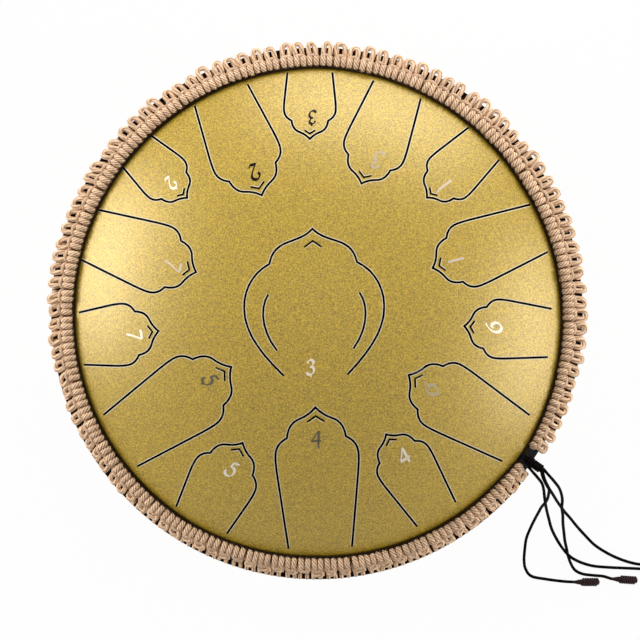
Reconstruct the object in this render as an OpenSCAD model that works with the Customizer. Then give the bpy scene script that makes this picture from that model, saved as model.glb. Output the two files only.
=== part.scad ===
// Steel tongue drum: two pressed steel shells joined at a flange, fifteen tongues cut in the
// upper shell, a rubber edge trim, a knotted hemp band held by two drawstrings, and rubber feet.
// It stands on its feet, with the origin on the floor below its middle and +Z up. Millimetres.

/* [Shells] */
// Radius where the dome meets the flange
dome_base_r = 168; // [155:1:185]
// Height of the dome above the flange
dome_rise = 66; // [50:1:85]
// Thickness of the steel sheet
steel_t = 2; // [1.5:0.1:2.5]
// Width of the flat flange round both shells
flange_w = 5.7; // [5:0.1:9]
// Depth of the lower shell below the seam
bowl_depth = 80; // [70:1:110]
// Radius of the lower shell's rounded side
bowl_corner_r = 66; // [50:1:68]
// Radius of the sound hole in the lower shell
sound_hole_r = 40; // [25:1:50]
// Height of the turned-in collar round the sound hole
collar_h = 10; // [6:1:20]

/* [Tongues] */
// Width of the laser-cut slits
slit_w = 1.5; // [0.8:0.1:1.8]
// Width of the chevron cut near each tip
chevron_w = 1.3; // [0.8:0.1:1.5]
// Clearance left at each root line, where the tongue flexes
root_gap = 0.03; // [0.02:0.01:0.1]

/* [Rim trim] */
// Wall of the rubber channel
trim_t = 1.4; // [1:0.1:2]
// How far the channel laps over the flange
trim_lap = 4.5; // [3:0.1:5]

/* [Hemp band] */
// Knots in each row of the band
knot_count = 117; // [80:1:118]
// Radius of one knot
knot_r = 4.4; // [3.8:0.1:4.4]
// Thickness of the strands behind the knots, wrapped round the rim
web_t = 1; // [0.8:0.1:1.6]
// Radius of a loop's curve on the outside of the band
loop_r = 2.8; // [2.3:0.1:3]
// Radius of a loop's strand
loop_strand_r = 1.6; // [1.2:0.1:1.7]
// Middle of the gap between the band's ends, in degrees
gap_angle = 325.6; // [0:0.1:360]
// Width of that gap, in degrees
gap_span = 4.7; // [4:0.1:8]

/* [Cords and knots] */
// Diameter of the drawstrings and their tails
cord_d = 2.1; // [1.8:0.1:2.4]
// Diameter of the thread that wraps a knot
wrap_d = 1.2; // [1:0.1:1.4]
// Clearance between one turn of a wrap and the next
wrap_gap = 0.45; // [0.42:0.01:0.8]
// Turns round the gathering knot
gather_turns = 5; // [3:1:8]
// Turns round an end knot
end_turns = 5; // [3:1:7]
// Radius of the doubled cord inside an end knot
end_core_r = 1.75; // [1.4:0.05:1.9]
// Radius of the cords drawn tight inside the gathering knot
gather_core_r = 1.9; // [1.6:0.05:2.3]

/* [Feet] */
// Radius of a foot
foot_r = 14; // [11:0.5:16]
// Height of a foot
foot_h = 14; // [12:0.5:20]
// Radius of the circle that the feet stand on
foot_ring_r = 80; // [72:1:84]
// Radius of the foot screws
screw_r = 2.5; // [2:0.5:3]

/* [Hidden] */
$fn = 96;
round_fn = 240;
small_fn = 32;
NOTES = ["low_4", "mid_4", "low_6", "mid_6", "mid_1", "high_1", "mid_3", "high_3",
         "mid_2", "high_2", "low_7", "mid_7", "low_5", "mid_5"];

// Clearance between soft pieces and what they lie on
soft_gap = 0.3;
// Clearance between a drawstring and the knots that hold it
string_gap = 0.2;
// Clearance between the thread of a knot and the cords inside it
thread_gap = 0.05;
// How far a cutting shape runs past what it cuts
overrun = 1;

// Heights and radii of the shells
seam_z = foot_h + bowl_depth;
flange_top_z = seam_z + steel_t;
flange_bottom_z = seam_z - steel_t;
flange_r = dome_base_r + flange_w;
sphere_r = (pow(dome_base_r, 2) + pow(dome_rise, 2)) / (2 * dome_rise);
sphere_z = flange_top_z + dome_rise - sphere_r;
dome_foot_r = sqrt(pow(sphere_r - steel_t, 2) - pow(seam_z - sphere_z, 2));
trim_top_z = flange_top_z + trim_t;
trim_bottom_z = flange_bottom_z - trim_t;
trim_outer_r = flange_r + trim_t;
trim_inner_r = flange_r - trim_lap;

// Places of the two rows of knots: each touches the shell it lies on but for the soft gap
row_seat_share = 0.55;
band_top_z = trim_top_z + soft_gap + web_t;
band_bottom_z = trim_bottom_z - soft_gap - web_t;
web_r = trim_outer_r + soft_gap + web_t;
upper_row_z = band_top_z + row_seat_share * knot_r;
knot_reach = sphere_r + soft_gap + knot_r;
upper_row_r = sqrt(pow(knot_reach, 2) - pow(upper_row_z - sphere_z, 2));
lower_row_z = band_bottom_z - row_seat_share * knot_r;
lower_row_r = dome_base_r + soft_gap + knot_r;
knot_pitch = (360 - gap_span) / knot_count;
loop_z = band_top_z - 2 * loop_strand_r;
loop_seat = 0.05;
band_start = gap_angle + gap_span / 2;
band_sweep = 360 - gap_span;

// Tongues round the rim, one row for each name in NOTES: the angle of the root's middle and the
// lean of the tongue off the radius, both in degrees, then the root's radius, the tongue's length,
// its half width at the widest and its half width at the root, as shares of dome_base_r
tongue_shares = [
    [270.8, 1.2, 0.930, 0.559, 0.165, 0.127],
    [300.7, 1.4, 0.928, 0.377, 0.116, 0.091],
    [327.9, 1.6, 0.932, 0.496, 0.140, 0.107],
    [355.2, 0.3, 0.927, 0.342, 0.117, 0.097],
    [21.0, -0.4, 0.945, 0.454, 0.131, 0.101],
    [45.5, -2.0, 0.946, 0.314, 0.106, 0.089],
    [70.3, -1.1, 0.945, 0.402, 0.125, 0.101],
    [91.7, -1.7, 0.958, 0.266, 0.103, 0.090],
    [113.7, -1.6, 0.948, 0.433, 0.140, 0.114],
    [138.0, -0.9, 0.963, 0.274, 0.102, 0.085],
    [160.9, -0.3, 0.961, 0.456, 0.137, 0.105],
    [186.1, -0.6, 0.941, 0.310, 0.123, 0.105],
    [212.9, 0.7, 0.930, 0.531, 0.155, 0.123],
    [240.8, 1.1, 0.940, 0.349, 0.134, 0.115]
];
// The tongue in the middle of the dome, in the same terms
centre_shares = [268.8, 2.5, 0.241, 0.575, 0.276, 0.128];

// Half outlines from the tip to the widest point, as cubic curves: each is four points, across and
// along the tongue, in shares of the tongue's half width
rim_curve_shares = [
    [[0, 0], [0.12, 0.13], [0.24, 0.21], [0.40, 0.27]],
    [[0.40, 0.27], [0.57, 0.335], [0.67, 0.46], [0.707, 0.716]],
    [[0.707, 0.716], [0.87, 0.80], [1.0, 0.92], [1.0, 1.18]]
];
// Where the straight side starts: the bend's corner and its end, along the tongue
rim_bend_share = 1.36;
rim_bend_end_share = 0.14;
centre_curve_shares = [
    [[0, 0], [0.09, 0.10], [0.20, 0.13], [0.34, 0.18]],
    [[0.34, 0.18], [0.52, 0.24], [0.59, 0.33], [0.626, 0.49]],
    [[0.626, 0.49], [0.85, 0.60], [1.0, 0.83], [1.0, 1.12]],
    [[1.0, 1.12], [1.0, 1.45], [0.80, 1.74], [0.465, 2.08]]
];
curve_steps = 7;
// Chevron cuts: half width of the arms, then the vertex and the arms' ends along the tongue
rim_chevron_shares = [0.209, 0.209, 0.345];
centre_chevron_shares = [0.123, 0.174, 0.262];
// The two curved cuts inside the middle tongue, as one cubic curve mirrored
centre_arc_shares = [[0.649, 0.925], [0.78, 1.10], [0.76, 1.45], [0.545, 1.724]];
// Length of the middle tongue's outline along its axis, in half widths
centre_length_share = 2.08;

// Gathering knot: a bundle of cords wrapped round, lying out over the rim
knot_angle = 325.2;
cord_r = cord_d / 2;
bundle_spread = (cord_d + 2 * thread_gap) / sqrt(3);
wrap_r = wrap_d / 2;
wrap_pitch = wrap_d + wrap_gap;
gather_wrap_r = gather_core_r + thread_gap + wrap_r;
gather_outer_r = gather_wrap_r + wrap_r;
gather_inner_end = trim_inner_r + cord_r;
gather_margin = cord_d;
gather_length = gather_turns * wrap_pitch + wrap_d + 2 * gather_margin;
gather_z = trim_top_z + gather_outer_r + soft_gap;
gather_outer_end = gather_inner_end + gather_length;

// End knots: a cord's doubled end, wrapped round
end_wrap_r = end_core_r + thread_gap + wrap_r;
end_outer_r = end_wrap_r + wrap_r;
end_margin = cord_d;
end_length = end_turns * wrap_pitch + wrap_d + 2 * end_margin;

// Sides of the swept cords and steps to a turn of the wraps
cord_sides = 8;
wrap_sides = 6;
wrap_steps = 24;

// Routes of the four tails, as points chosen by hand. Each falls from the rim to the floor, lies
// along it and ends at its knot. The second leaves the band below the rim, the others the
// gathering knot.
tail_1_route = [[151.5, -110, 98.5], [154, -115, 94], [156, -118.5, 85], [156, -122, 74],
    [155.5, -125.5, 63], [154, -128.5, 53], [152, -131.5, 43], [150.5, -135, 33], [148, -140.5, 22],
    [145.5, -146.5, 12.5], [143, -153.5, 5], [142, -161, 1.05], [141.5, -168.5, 1.05],
    [142.5, -174.5, 1.05], [146.5, -179.5, 1.05], [156, -181.5, 1.05], [167.5, -183, 1.5],
    [176.5, -183.5, 3], [180, -183.5, 3]];
tail_2_route = [[142, -103, 86], [145, -106.5, 85.5], [148.5, -110.5, 82], [151.5, -114.5, 76],
    [153, -119, 66], [154, -125, 53], [155.5, -132, 39], [157.5, -139, 26], [160, -147, 15],
    [164.5, -155.5, 5.5], [169, -162, 1.05], [173.5, -166.5, 1.05], [180, -170, 1.05],
    [188.5, -172.5, 1.05], [199, -173.5, 1.05], [210, -174, 1.05], [221, -174.5, 1.05],
    [229, -175, 1.6], [235, -175.5, 3], [238.5, -175.5, 3]];
tail_3_route = [[155, -108, 99], [159, -112.5, 95], [162.5, -117, 88], [164.5, -121.5, 78],
    [165.5, -126, 68], [165.5, -131.5, 57], [166.5, -136.5, 46], [167, -142.5, 35], [168, -149, 24],
    [169, -155, 14], [170.5, -161, 6.5], [171.5, -165.5, 3.7], [173.5, -171, 2], [176.5, -175.5, 1.05],
    [181.5, -178, 1.05], [188, -178.9, 1.05], [195.5, -179.6, 1.05], [201.5, -181.3, 2.4],
    [206, -181.6, 3]];
tail_4_route = [[152.5, -111, 101.5], [155.5, -117, 95.5], [158.5, -121.5, 84], [161.5, -126, 68],
    [164.5, -130, 51], [168, -134.5, 37], [172.5, -139.5, 25], [177.5, -145.5, 14], [183.5, -152, 6],
    [189.5, -158, 1.05], [197, -163, 1.05], [205, -167, 1.05], [213.5, -170, 1.05],
    [221.5, -171.5, 1.05], [231, -171, 1.05], [241.5, -169.5, 1.05], [250, -167.5, 1.6],
    [256, -166, 3], [259, -165.5, 3]];

// Hardware of the feet, in shares of the screw's radius
head_r_share = 1.9;
head_h_share = 1.2;
washer_r_share = 2;
washer_h_share = 0.4;
nut_r_share = 1.85;
nut_h_share = 1.6;
thread_end_share = 0.4;
screw_gap = 0.25;
foot_recess_gap = 1;
foot_taper_share = 0.88;
foot_seat_share = 0.45;
foot_count = 3;
foot_first_angle = 90;

// Unit vector along v, and the plane turn of v by a quarter to the right
function unit(v) = v / norm(v);
function right_of(v) = [v[1], -v[0]];
function reversed(list) = [for (i = [len(list) - 1 : -1 : 0]) list[i]];
function tail_of(list) = [for (i = [1 : 1 : len(list) - 1]) list[i]];

// Point at share t of a cubic curve, and the points of the curve after its first
function cubic(c, t) = pow(1 - t, 3) * c[0] + 3 * t * pow(1 - t, 2) * c[1]
    + 3 * t * t * (1 - t) * c[2] + pow(t, 3) * c[3];
function curve_points(c, steps) = [for (i = [1 : 1 : steps]) cubic(c, i / steps)];

// Half outline of a tongue, from the tip to the root: the slit's middle line
function rim_half(half_w, length, root_half) = let (
        corner = [half_w, rim_bend_share * half_w],
        root = [root_half, length],
        bend_end = corner + rim_bend_end_share * (root - corner),
        widest = rim_curve_shares[2][3] * half_w,
        bend = [widest, widest + (corner - widest) * 2 / 3, bend_end + (corner - bend_end) * 2 / 3, bend_end]
    ) concat(
        [rim_curve_shares[0][0] * half_w],
        [for (c = rim_curve_shares) each curve_points(c * half_w, curve_steps)],
        curve_points(bend, curve_steps),
        [root]
    );
function centre_half(half_w) = concat(
        [centre_curve_shares[0][0] * half_w],
        [for (c = centre_curve_shares) each curve_points(c * half_w, curve_steps)]
    );

// Whole outline, from the left end of the root round the tip to the right end of the root
function whole_outline(half) = concat(
        [for (p = reversed(tail_of(half))) [-p[0], p[1]]],
        half
    );

// Direction of the step from point i to the next, and the mitred side step at point i
function step_dir(points, i) = unit(points[i + 1] - points[i]);
function mitre(a, b) = (right_of(a) + right_of(b)) / (1 + right_of(a) * right_of(b));

// The outline moved aside by d, to the outside of a tongue, with both ends kept on the root line
function moved_outline(points, d) = let (last = len(points) - 1) [
        for (i = [0 : 1 : last])
            i == 0 ? points[i] + [d / right_of(step_dir(points, 0))[0], 0]
            : i == last ? points[i] + [d / right_of(step_dir(points, last - 1))[0], 0]
            : points[i] + d * mitre(step_dir(points, i - 1), step_dir(points, i))
    ];
// The same with square ends, for cuts that start and stop inside the sheet
function moved_line(points, d) = let (last = len(points) - 1) [
        for (i = [0 : 1 : last])
            i == 0 ? points[i] + d * right_of(step_dir(points, 0))
            : i == last ? points[i] + d * right_of(step_dir(points, last - 1))
            : points[i] + d * mitre(step_dir(points, i - 1), step_dir(points, i))
    ];

// Rings carried along a path without twist, and the closed tube through them. The first and last
// rings are square to the directions given for the two ends, where one is given.
function squared(v, t) = unit(v - (v * t) * t);
function path_dir(path, i) = unit(path[min(i + 1, len(path) - 1)] - path[max(i - 1, 0)]);
function path_dirs(path, first, last) = [
        for (i = [0 : 1 : len(path) - 1])
            i == 0 && norm(first) > 0 ? first
            : i == len(path) - 1 && norm(last) > 0 ? last
            : path_dir(path, i)
    ];
function carried(dirs, start) = [
        for (i = 0, side = squared(start, dirs[0]); i < len(dirs);
             i = i + 1, side = i < len(dirs) ? squared(side, dirs[i]) : side) side
    ];
function ring_at(centre, dir, side, r, sides) = [
        for (k = [0 : 1 : sides - 1])
            let (a = 360 * (k + 0.5) / sides) centre + r * (cos(a) * side + sin(a) * cross(dir, side))
    ];

module tube(path, r, sides, start, first = [0, 0, 0], last = [0, 0, 0]) {
    dirs = path_dirs(path, first, last);
    side = carried(dirs, start);
    rings = [for (i = [0 : 1 : len(path) - 1]) each ring_at(path[i], dirs[i], side[i], r, sides)];
    end = (len(path) - 1) * sides;
    polyhedron(points = rings, faces = concat(
        [[for (k = [0 : 1 : sides - 1]) k]],
        [for (i = [0 : 1 : len(path) - 2], k = [0 : 1 : sides - 1]) each let (
                a = i * sides + k,
                b = i * sides + (k + 1) % sides
            ) [[a, a + sides, b], [b, a + sides, b + sides]]],
        [[for (k = [sides - 1 : -1 : 0]) end + k]]
    ));
}

// Helix round the X axis, each end run out straight for one diameter of the thread
function helix_path(r, turns, first) = let (
        last = first + turns * wrap_pitch,
        run = wrap_d * unit([wrap_pitch / 2 / PI, 0, r])
    ) concat(
        [[first, r, 0] - run],
        [for (i = [0 : 1 : turns * wrap_steps])
            let (a = 360 * i / wrap_steps) [first + wrap_pitch * i / wrap_steps, r * cos(a), r * sin(a)]],
        [[last, r, 0] + run]
    );

// Least gap of a winding to itself, between points that lie half a turn or more apart along it
function least_gap(path) = min([
        for (i = [0 : 1 : len(path) - 1], j = [i + wrap_steps / 2 : 1 : len(path) - 1]) norm(path[j] - path[i])
    ]) - wrap_d;

// A place given by radius, angle and height
function polar(r, angle, z) = [r * cos(angle), r * sin(angle), z];

// Section of the upper shell: the dome's arc and the flange
module top_profile() {
    intersection() {
        translate([0, sphere_z]) difference() {
            circle(r = sphere_r, $fn = 4 * round_fn);
            circle(r = sphere_r - steel_t, $fn = 4 * round_fn);
        }
        translate([0, seam_z]) square([flange_r, dome_rise + steel_t]);
    }
    translate([dome_foot_r, seam_z]) square([flange_r - dome_foot_r, steel_t]);
}

// Section of the lower shell's outside, set in by the given depth
module bowl_shape(inset) {
    intersection() {
        union() {
            translate([0, foot_h + inset]) square([dome_base_r - bowl_corner_r, bowl_depth]);
            translate([0, foot_h + bowl_corner_r]) square([dome_base_r - inset, bowl_depth]);
            translate([dome_base_r - bowl_corner_r, foot_h + bowl_corner_r]) circle(r = bowl_corner_r - inset);
        }
        square([dome_base_r, seam_z]);
    }
}

module bottom_profile() {
    difference() {
        union() {
            difference() {
                bowl_shape(0);
                bowl_shape(steel_t);
            }
            translate([dome_base_r - steel_t, flange_bottom_z])
                square([flange_r - dome_base_r + steel_t, steel_t]);
            translate([sound_hole_r, foot_h]) square([steel_t, collar_h]);
        }
        square([sound_hole_r, seam_z + overrun]);
    }
}

// Puts a tongue's flat outline in its place: the root's middle at its radius and angle
module place_tongue(row, length) {
    rotate(row[0]) translate([row[2] * dome_base_r, 0]) rotate(row[1] + 90) translate([0, length])
        mirror([0, 1]) children();
}

// A cut of even width along a line, with square ends
module cut_line(points, width) {
    polygon(concat(moved_line(points, width / 2), reversed(moved_line(points, -width / 2))));
}

module chevron(shares, half_w) {
    cut_line([[-shares[0], shares[2]], [0, shares[1]], [shares[0], shares[2]]] * half_w, chevron_w);
}

// The opening that a tongue lies in: its outline and slit, the slit's round ends and the root gap
module opening_shape(half) {
    outline = moved_outline(whole_outline(half), slit_w / 2);
    root = half[len(half) - 1];
    polygon(concat(outline, [
        outline[len(outline) - 1] + [0, root_gap],
        outline[0] + [0, root_gap]
    ]));
    for (side = [-1, 1]) translate([side * root[0], root[1]]) circle(r = slit_w / 2, $fn = small_fn);
}

module tongue_shape(half) {
    polygon(moved_outline(whole_outline(half), -slit_w / 2));
}

function half_of(row) = rim_half(row[4] * dome_base_r, row[3] * dome_base_r, row[5] * dome_base_r);
centre_half_w = centre_shares[3] * dome_base_r / centre_length_share;

// A flat shape carried up through the whole of the upper shell
module through_dome() {
    translate([0, 0, seam_z - overrun]) linear_extrude(dome_rise + steel_t + 2 * overrun) children();
}

module top_shell() {
    color([0.80, 0.68, 0.36]) difference() {
        rotate_extrude($fn = round_fn) top_profile();
        for (row = tongue_shares) through_dome() place_tongue(row, row[3] * dome_base_r)
            opening_shape(half_of(row));
        through_dome() place_tongue(centre_shares, centre_shares[3] * dome_base_r)
            opening_shape(centre_half(centre_half_w));
    }
}

// The dome's sheet as a whole ball, laid so that its poles are clear of the tongues
module dome_sheet() {
    translate([0, 0, sphere_z]) rotate([90, 0, 0]) difference() {
        sphere(r = sphere_r, $fn = 2 * round_fn);
        sphere(r = sphere_r - steel_t, $fn = 2 * round_fn);
    }
}

// A tongue cut from the dome's sheet, and the cuts inside it taken out
module cut_tongue(row, length, half) {
    color([0.82, 0.70, 0.38]) difference() {
        intersection() {
            dome_sheet();
            through_dome() place_tongue(row, length) tongue_shape(half);
        }
        through_dome() place_tongue(row, length) children();
    }
}

module rim_tongue(row) {
    cut_tongue(row, row[3] * dome_base_r, half_of(row)) chevron(rim_chevron_shares, row[4] * dome_base_r);
}

module centre_tongue() {
    cut_tongue(centre_shares, centre_shares[3] * dome_base_r, centre_half(centre_half_w)) {
        chevron(centre_chevron_shares, centre_half_w);
        for (side = [0, 1]) mirror([side, 0])
            cut_line([for (i = [0 : 1 : 2 * curve_steps])
                cubic(centre_arc_shares, i / (2 * curve_steps)) * centre_half_w], slit_w);
    }
}

module at_feet() {
    for (i = [0 : 1 : foot_count - 1]) rotate(foot_first_angle + 360 * i / foot_count)
        translate([foot_ring_r, 0, 0]) children();
}

module bottom_shell() {
    color([0.80, 0.68, 0.36]) difference() {
        rotate_extrude($fn = round_fn) bottom_profile();
        at_feet() cylinder(h = seam_z, r = screw_r + screw_gap, $fn = small_fn);
    }
}

module rim_trim() {
    color([0.06, 0.06, 0.06]) rotate_extrude($fn = round_fn) difference() {
        translate([trim_inner_r, trim_bottom_z]) square([trim_outer_r - trim_inner_r, trim_top_z - trim_bottom_z]);
        translate([0, flange_bottom_z]) square([flange_r, 2 * steel_t]);
    }
}

// Drawstrings: the upper one lies in the crook between the dome and the knots, the lower one in
// that between the lower shell and its knots
cord_reach = sphere_r + soft_gap + cord_r;
crook = knot_r + cord_r + string_gap;
crook_angle = acos((pow(knot_reach, 2) + pow(cord_reach, 2) - pow(crook, 2)) / (2 * knot_reach * cord_reach));
upper_string_angle = asin(upper_row_r / knot_reach) - crook_angle;
upper_string_r = cord_reach * sin(upper_string_angle);
upper_string_z = sphere_z + cord_reach * cos(upper_string_angle);
lower_string_r = dome_base_r + soft_gap + cord_r;
lower_string_z = lower_row_z - sqrt(pow(crook, 2) - pow(lower_row_r - lower_string_r, 2));
string_end_angles = [gap_angle - gap_span / 2, gap_angle + gap_span / 2];
bend_reach = 2 * cord_d;
rise_reach = 6 * cord_d;
string_sides = 12;
string_steps = 7;

// Direction of a drawstring where it leaves the band into the gap, from the end given
function into_gap(end) = let (a = string_end_angles[end], s = end == 0 ? 1 : -1) s * [-sin(a), cos(a), 0];
outward = [cos(knot_angle), sin(knot_angle), 0];
sideways = [-sin(knot_angle), cos(knot_angle), 0];

// Places of the cords in the bundle of the gathering knot, at a radius from the drum's axis
function in_bundle(r, turn) = polar(r, knot_angle, gather_z + bundle_spread * sin(turn))
    + bundle_spread * cos(turn) * sideways;
left_turn = 210;
right_turn = 330;
top_turn = 90;

module string_ring(r, z) {
    translate([0, 0, z]) rotate(band_start) rotate_extrude(angle = band_sweep, $fn = round_fn)
        translate([r, 0]) circle(r = cord_r, $fn = small_fn);
}

// The end of a drawstring: a smooth bend from one place and direction to another, which starts a
// hair clear of the ring that it carries on
module string_bend(from, from_dir, to, to_dir, from_reach = bend_reach, to_reach = bend_reach) {
    start = from + thread_gap * from_dir;
    bend = [start, start + from_reach * from_dir, to - to_reach * to_dir, to];
    tube(concat([start], curve_points(bend, string_steps)), cord_r, string_sides, [0, 0, 1], from_dir, to_dir);
}

module upper_drawstring() {
    color([0.20, 0.15, 0.13]) {
        string_ring(upper_string_r, upper_string_z);
        for (end = [0, 1])
            string_bend(polar(upper_string_r, string_end_angles[end], upper_string_z), into_gap(end),
                in_bundle(gather_inner_end, end == 0 ? left_turn : right_turn), outward);
    }
}

// One end of the lower drawstring leaves as a tail, the other rises into the gathering knot
lower_side_r = web_r + soft_gap + cord_r;
module lower_drawstring() {
    color([0.20, 0.15, 0.13]) {
        string_ring(lower_string_r, lower_string_z);
        string_bend(polar(lower_string_r, string_end_angles[0], lower_string_z), into_gap(0),
            tail_2_route[0], unit(tail_2_route[1] - tail_2_route[0]));
        string_bend(polar(lower_string_r, string_end_angles[1], lower_string_z), into_gap(1),
            polar(lower_side_r, knot_angle, gather_z - gather_outer_r - thread_gap), [0, 0, 1],
            2 * bend_reach, rise_reach);
    }
}

// The band behind the knots: strands wrapped round the trim, open to the inside
module rope_band() {
    color([0.76, 0.64, 0.50]) rotate(band_start)
        rotate_extrude(angle = band_sweep, $fn = round_fn) difference() {
            translate([trim_inner_r, band_bottom_z])
                square([web_r - trim_inner_r, band_top_z - band_bottom_z]);
            translate([0, band_bottom_z + web_t])
                square([web_r - web_t, band_top_z - band_bottom_z - 2 * web_t]);
        }
}

module along_band(r, z) {
    for (i = [0 : 1 : knot_count - 1]) rotate(band_start + knot_pitch * (i + 0.5))
        translate([r, 0, z]) children();
}

// Knots of both rows, seated flat on the strands behind them
module rope_knots() {
    color([0.80, 0.69, 0.55]) {
        difference() {
            along_band(upper_row_r, upper_row_z) sphere(r = knot_r, $fn = small_fn);
            cylinder(h = band_top_z, r = flange_r + knot_r);
        }
        difference() {
            along_band(lower_row_r, lower_row_z) sphere(r = knot_r, $fn = small_fn);
            translate([0, 0, band_bottom_z]) cylinder(h = dome_rise, r = flange_r + knot_r);
        }
    }
}

// Small loops that stand out from the band all round
module rope_loops() {
    color([0.80, 0.69, 0.55]) along_band(web_r + loop_seat, loop_z)
        rotate(-90) rotate_extrude(angle = 180, $fn = small_fn)
            translate([loop_r, 0]) circle(r = loop_strand_r, $fn = small_fn);
}

// The gathering knot: the bundled cords and the thread wound round them
gather_path = helix_path(gather_wrap_r, gather_turns, gather_margin + wrap_r);
echo("least gap of the gathering thread to itself", least_gap(gather_path));
module gathering_knot() {
    color([0.16, 0.12, 0.11]) translate(polar(gather_inner_end, knot_angle, gather_z)) rotate(knot_angle) {
        rotate([0, 90, 0]) cylinder(h = gather_length, r = gather_core_r, $fn = small_fn);
        tube(gather_path, wrap_r, wrap_sides, [0, 1, 0]);
    }
}

// A tail from its place and direction at the drum to its end knot, along its route
module tail(exit, exit_dir, route) {
    path = concat([exit], route);
    color([0.20, 0.15, 0.13]) tube(path, cord_r, cord_sides, [0, 0, 1], exit_dir,
        unit(route[len(route) - 1] - route[len(route) - 2]));
}

module tail_1() { tail(in_bundle(gather_outer_end, left_turn), outward, tail_1_route); }
module tail_2() {
    tail(tail_2_route[0], unit(tail_2_route[1] - tail_2_route[0]), tail_of(tail_2_route));
}
module tail_3() { tail(in_bundle(gather_outer_end, right_turn), outward, tail_3_route); }
module tail_4() { tail(in_bundle(gather_outer_end, top_turn), outward, tail_4_route); }

// An end knot, lying along the last stretch of its tail
end_path = helix_path(end_wrap_r, end_turns, end_margin + wrap_r);
echo("least gap of an end knot's thread to itself", least_gap(end_path));
module end_knot(route) {
    last = route[len(route) - 1];
    d = last - route[len(route) - 2];
    color([0.22, 0.16, 0.15]) translate([last[0], last[1], end_outer_r])
        rotate(atan2(d[1], d[0])) {
            rotate([0, 90, 0]) cylinder(h = end_length, r = end_core_r, $fn = small_fn);
            tube(end_path, wrap_r, wrap_sides, [0, 1, 0]);
        }
}

// Feet: a rubber foot, a screw up through it and the lower shell, a washer at each end and a nut
head_r = head_r_share * screw_r;
head_h = head_h_share * screw_r;
washer_r = washer_r_share * screw_r;
washer_h = washer_h_share * screw_r;
nut_h = nut_h_share * screw_r;
foot_seat_z = foot_seat_share * foot_h;
module foot() {
    difference() {
        cylinder(h = foot_h, r1 = foot_taper_share * foot_r, r2 = foot_r);
        translate([0, 0, -overrun]) cylinder(h = foot_seat_z + overrun, r = washer_r + foot_recess_gap);
        translate([0, 0, -overrun]) cylinder(h = foot_h + 2 * overrun, r = screw_r + screw_gap);
    }
}

module one_foot(i) {
    color([0.07, 0.07, 0.07]) rotate(foot_first_angle + 360 * i / foot_count) translate([foot_ring_r, 0, 0]) foot();
}

module foot_screws() {
    color([0.7, 0.7, 0.7]) at_feet() {
        translate([0, 0, foot_seat_z - washer_h - head_h]) cylinder(h = head_h, r = head_r);
        translate([0, 0, foot_seat_z - washer_h])
            cylinder(h = foot_h + steel_t + 2 * washer_h + nut_h + thread_end_share * screw_r - foot_seat_z,
                r = screw_r);
    }
}

module washer() {
    difference() {
        cylinder(h = washer_h, r = washer_r);
        translate([0, 0, -overrun]) cylinder(h = washer_h + 2 * overrun, r = screw_r + screw_gap);
    }
}

module foot_washers() {
    color([0.7, 0.7, 0.7]) at_feet() {
        translate([0, 0, foot_seat_z - washer_h]) washer();
        translate([0, 0, foot_h + steel_t]) washer();
    }
}

module foot_nuts() {
    color([0.7, 0.7, 0.7]) at_feet() translate([0, 0, foot_h + steel_t + washer_h]) difference() {
        cylinder(h = nut_h, r = nut_r_share * screw_r, $fn = 6);
        translate([0, 0, -overrun]) cylinder(h = nut_h + 2 * overrun, r = screw_r);
    }
}

top_shell();
centre_tongue();  // tongue_low_3
for (i = [0 : 1 : len(NOTES) - 1])
    rim_tongue(tongue_shares[i]);
bottom_shell();
rim_trim();
rope_band();
rope_knots();
rope_loops();
upper_drawstring();
lower_drawstring();
gathering_knot();
tail_1();
tail_2();
tail_3();
tail_4();
end_knot(tail_1_route);  // end_knot_1
end_knot(tail_2_route);  // end_knot_2
end_knot(tail_3_route);  // end_knot_3
end_knot(tail_4_route);  // end_knot_4
for (i = [0 : 1 : foot_count - 1])
    one_foot(i);
foot_screws();
foot_washers();
foot_nuts();
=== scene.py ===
"""Steel tongue drum with a knotted hemp band: its finishes, cords, band, numbers and stage."""

import math

import bpy
import numpy as np
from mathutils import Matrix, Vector


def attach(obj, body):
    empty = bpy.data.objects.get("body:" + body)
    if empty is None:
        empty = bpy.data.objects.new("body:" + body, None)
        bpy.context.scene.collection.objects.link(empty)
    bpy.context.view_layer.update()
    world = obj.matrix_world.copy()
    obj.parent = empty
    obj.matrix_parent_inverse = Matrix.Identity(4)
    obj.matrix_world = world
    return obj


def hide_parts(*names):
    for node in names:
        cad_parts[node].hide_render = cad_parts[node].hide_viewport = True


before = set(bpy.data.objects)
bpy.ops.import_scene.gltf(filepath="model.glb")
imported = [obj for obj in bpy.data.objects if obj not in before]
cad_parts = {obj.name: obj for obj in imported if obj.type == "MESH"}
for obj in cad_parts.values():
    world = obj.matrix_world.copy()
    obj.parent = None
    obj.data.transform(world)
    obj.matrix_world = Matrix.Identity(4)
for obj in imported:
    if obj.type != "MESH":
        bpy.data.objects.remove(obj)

bl_info = {
    "name": "Tongue drum dressing",
    "version": (1, 0, 0),
    "blender": (4, 5, 0),
    "location": "View3D > Sidebar > Drum",
    "description": "Dresses the steel tongue drum with its cords, band, numbers and finishes",
    "category": "Object",
}

MM = 0.001

# The drum's own sizes, as its source has them
DOME_BASE_R = 168 * MM
SPHERE_R = 246.818 * MM
SPHERE_Z = -84.818 * MM
BOWL_FLAT_R = 102 * MM
BOWL_WALL_Z = 80 * MM
SEAM_Z = 94 * MM
FLANGE_TOP_Z = 96 * MM
KNOT_ANGLE = 325.2
GAP_ANGLE = 325.6
GAP_SPAN = 4.7
KNOT_COUNT = 117
GATHER_R = 170.25 * MM
GATHER_Z = 100.85 * MM
GATHER_LENGTH = 13.65 * MM
END_LENGTH = 13.65 * MM
END_Z = 3 * MM

BAND_R = 170 * MM
BAND_START = GAP_ANGLE + GAP_SPAN / 2
PITCH = (360 - GAP_SPAN) / KNOT_COUNT
UNIT_W = math.radians(PITCH) * BAND_R
NINTH = UNIT_W / 9


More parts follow.
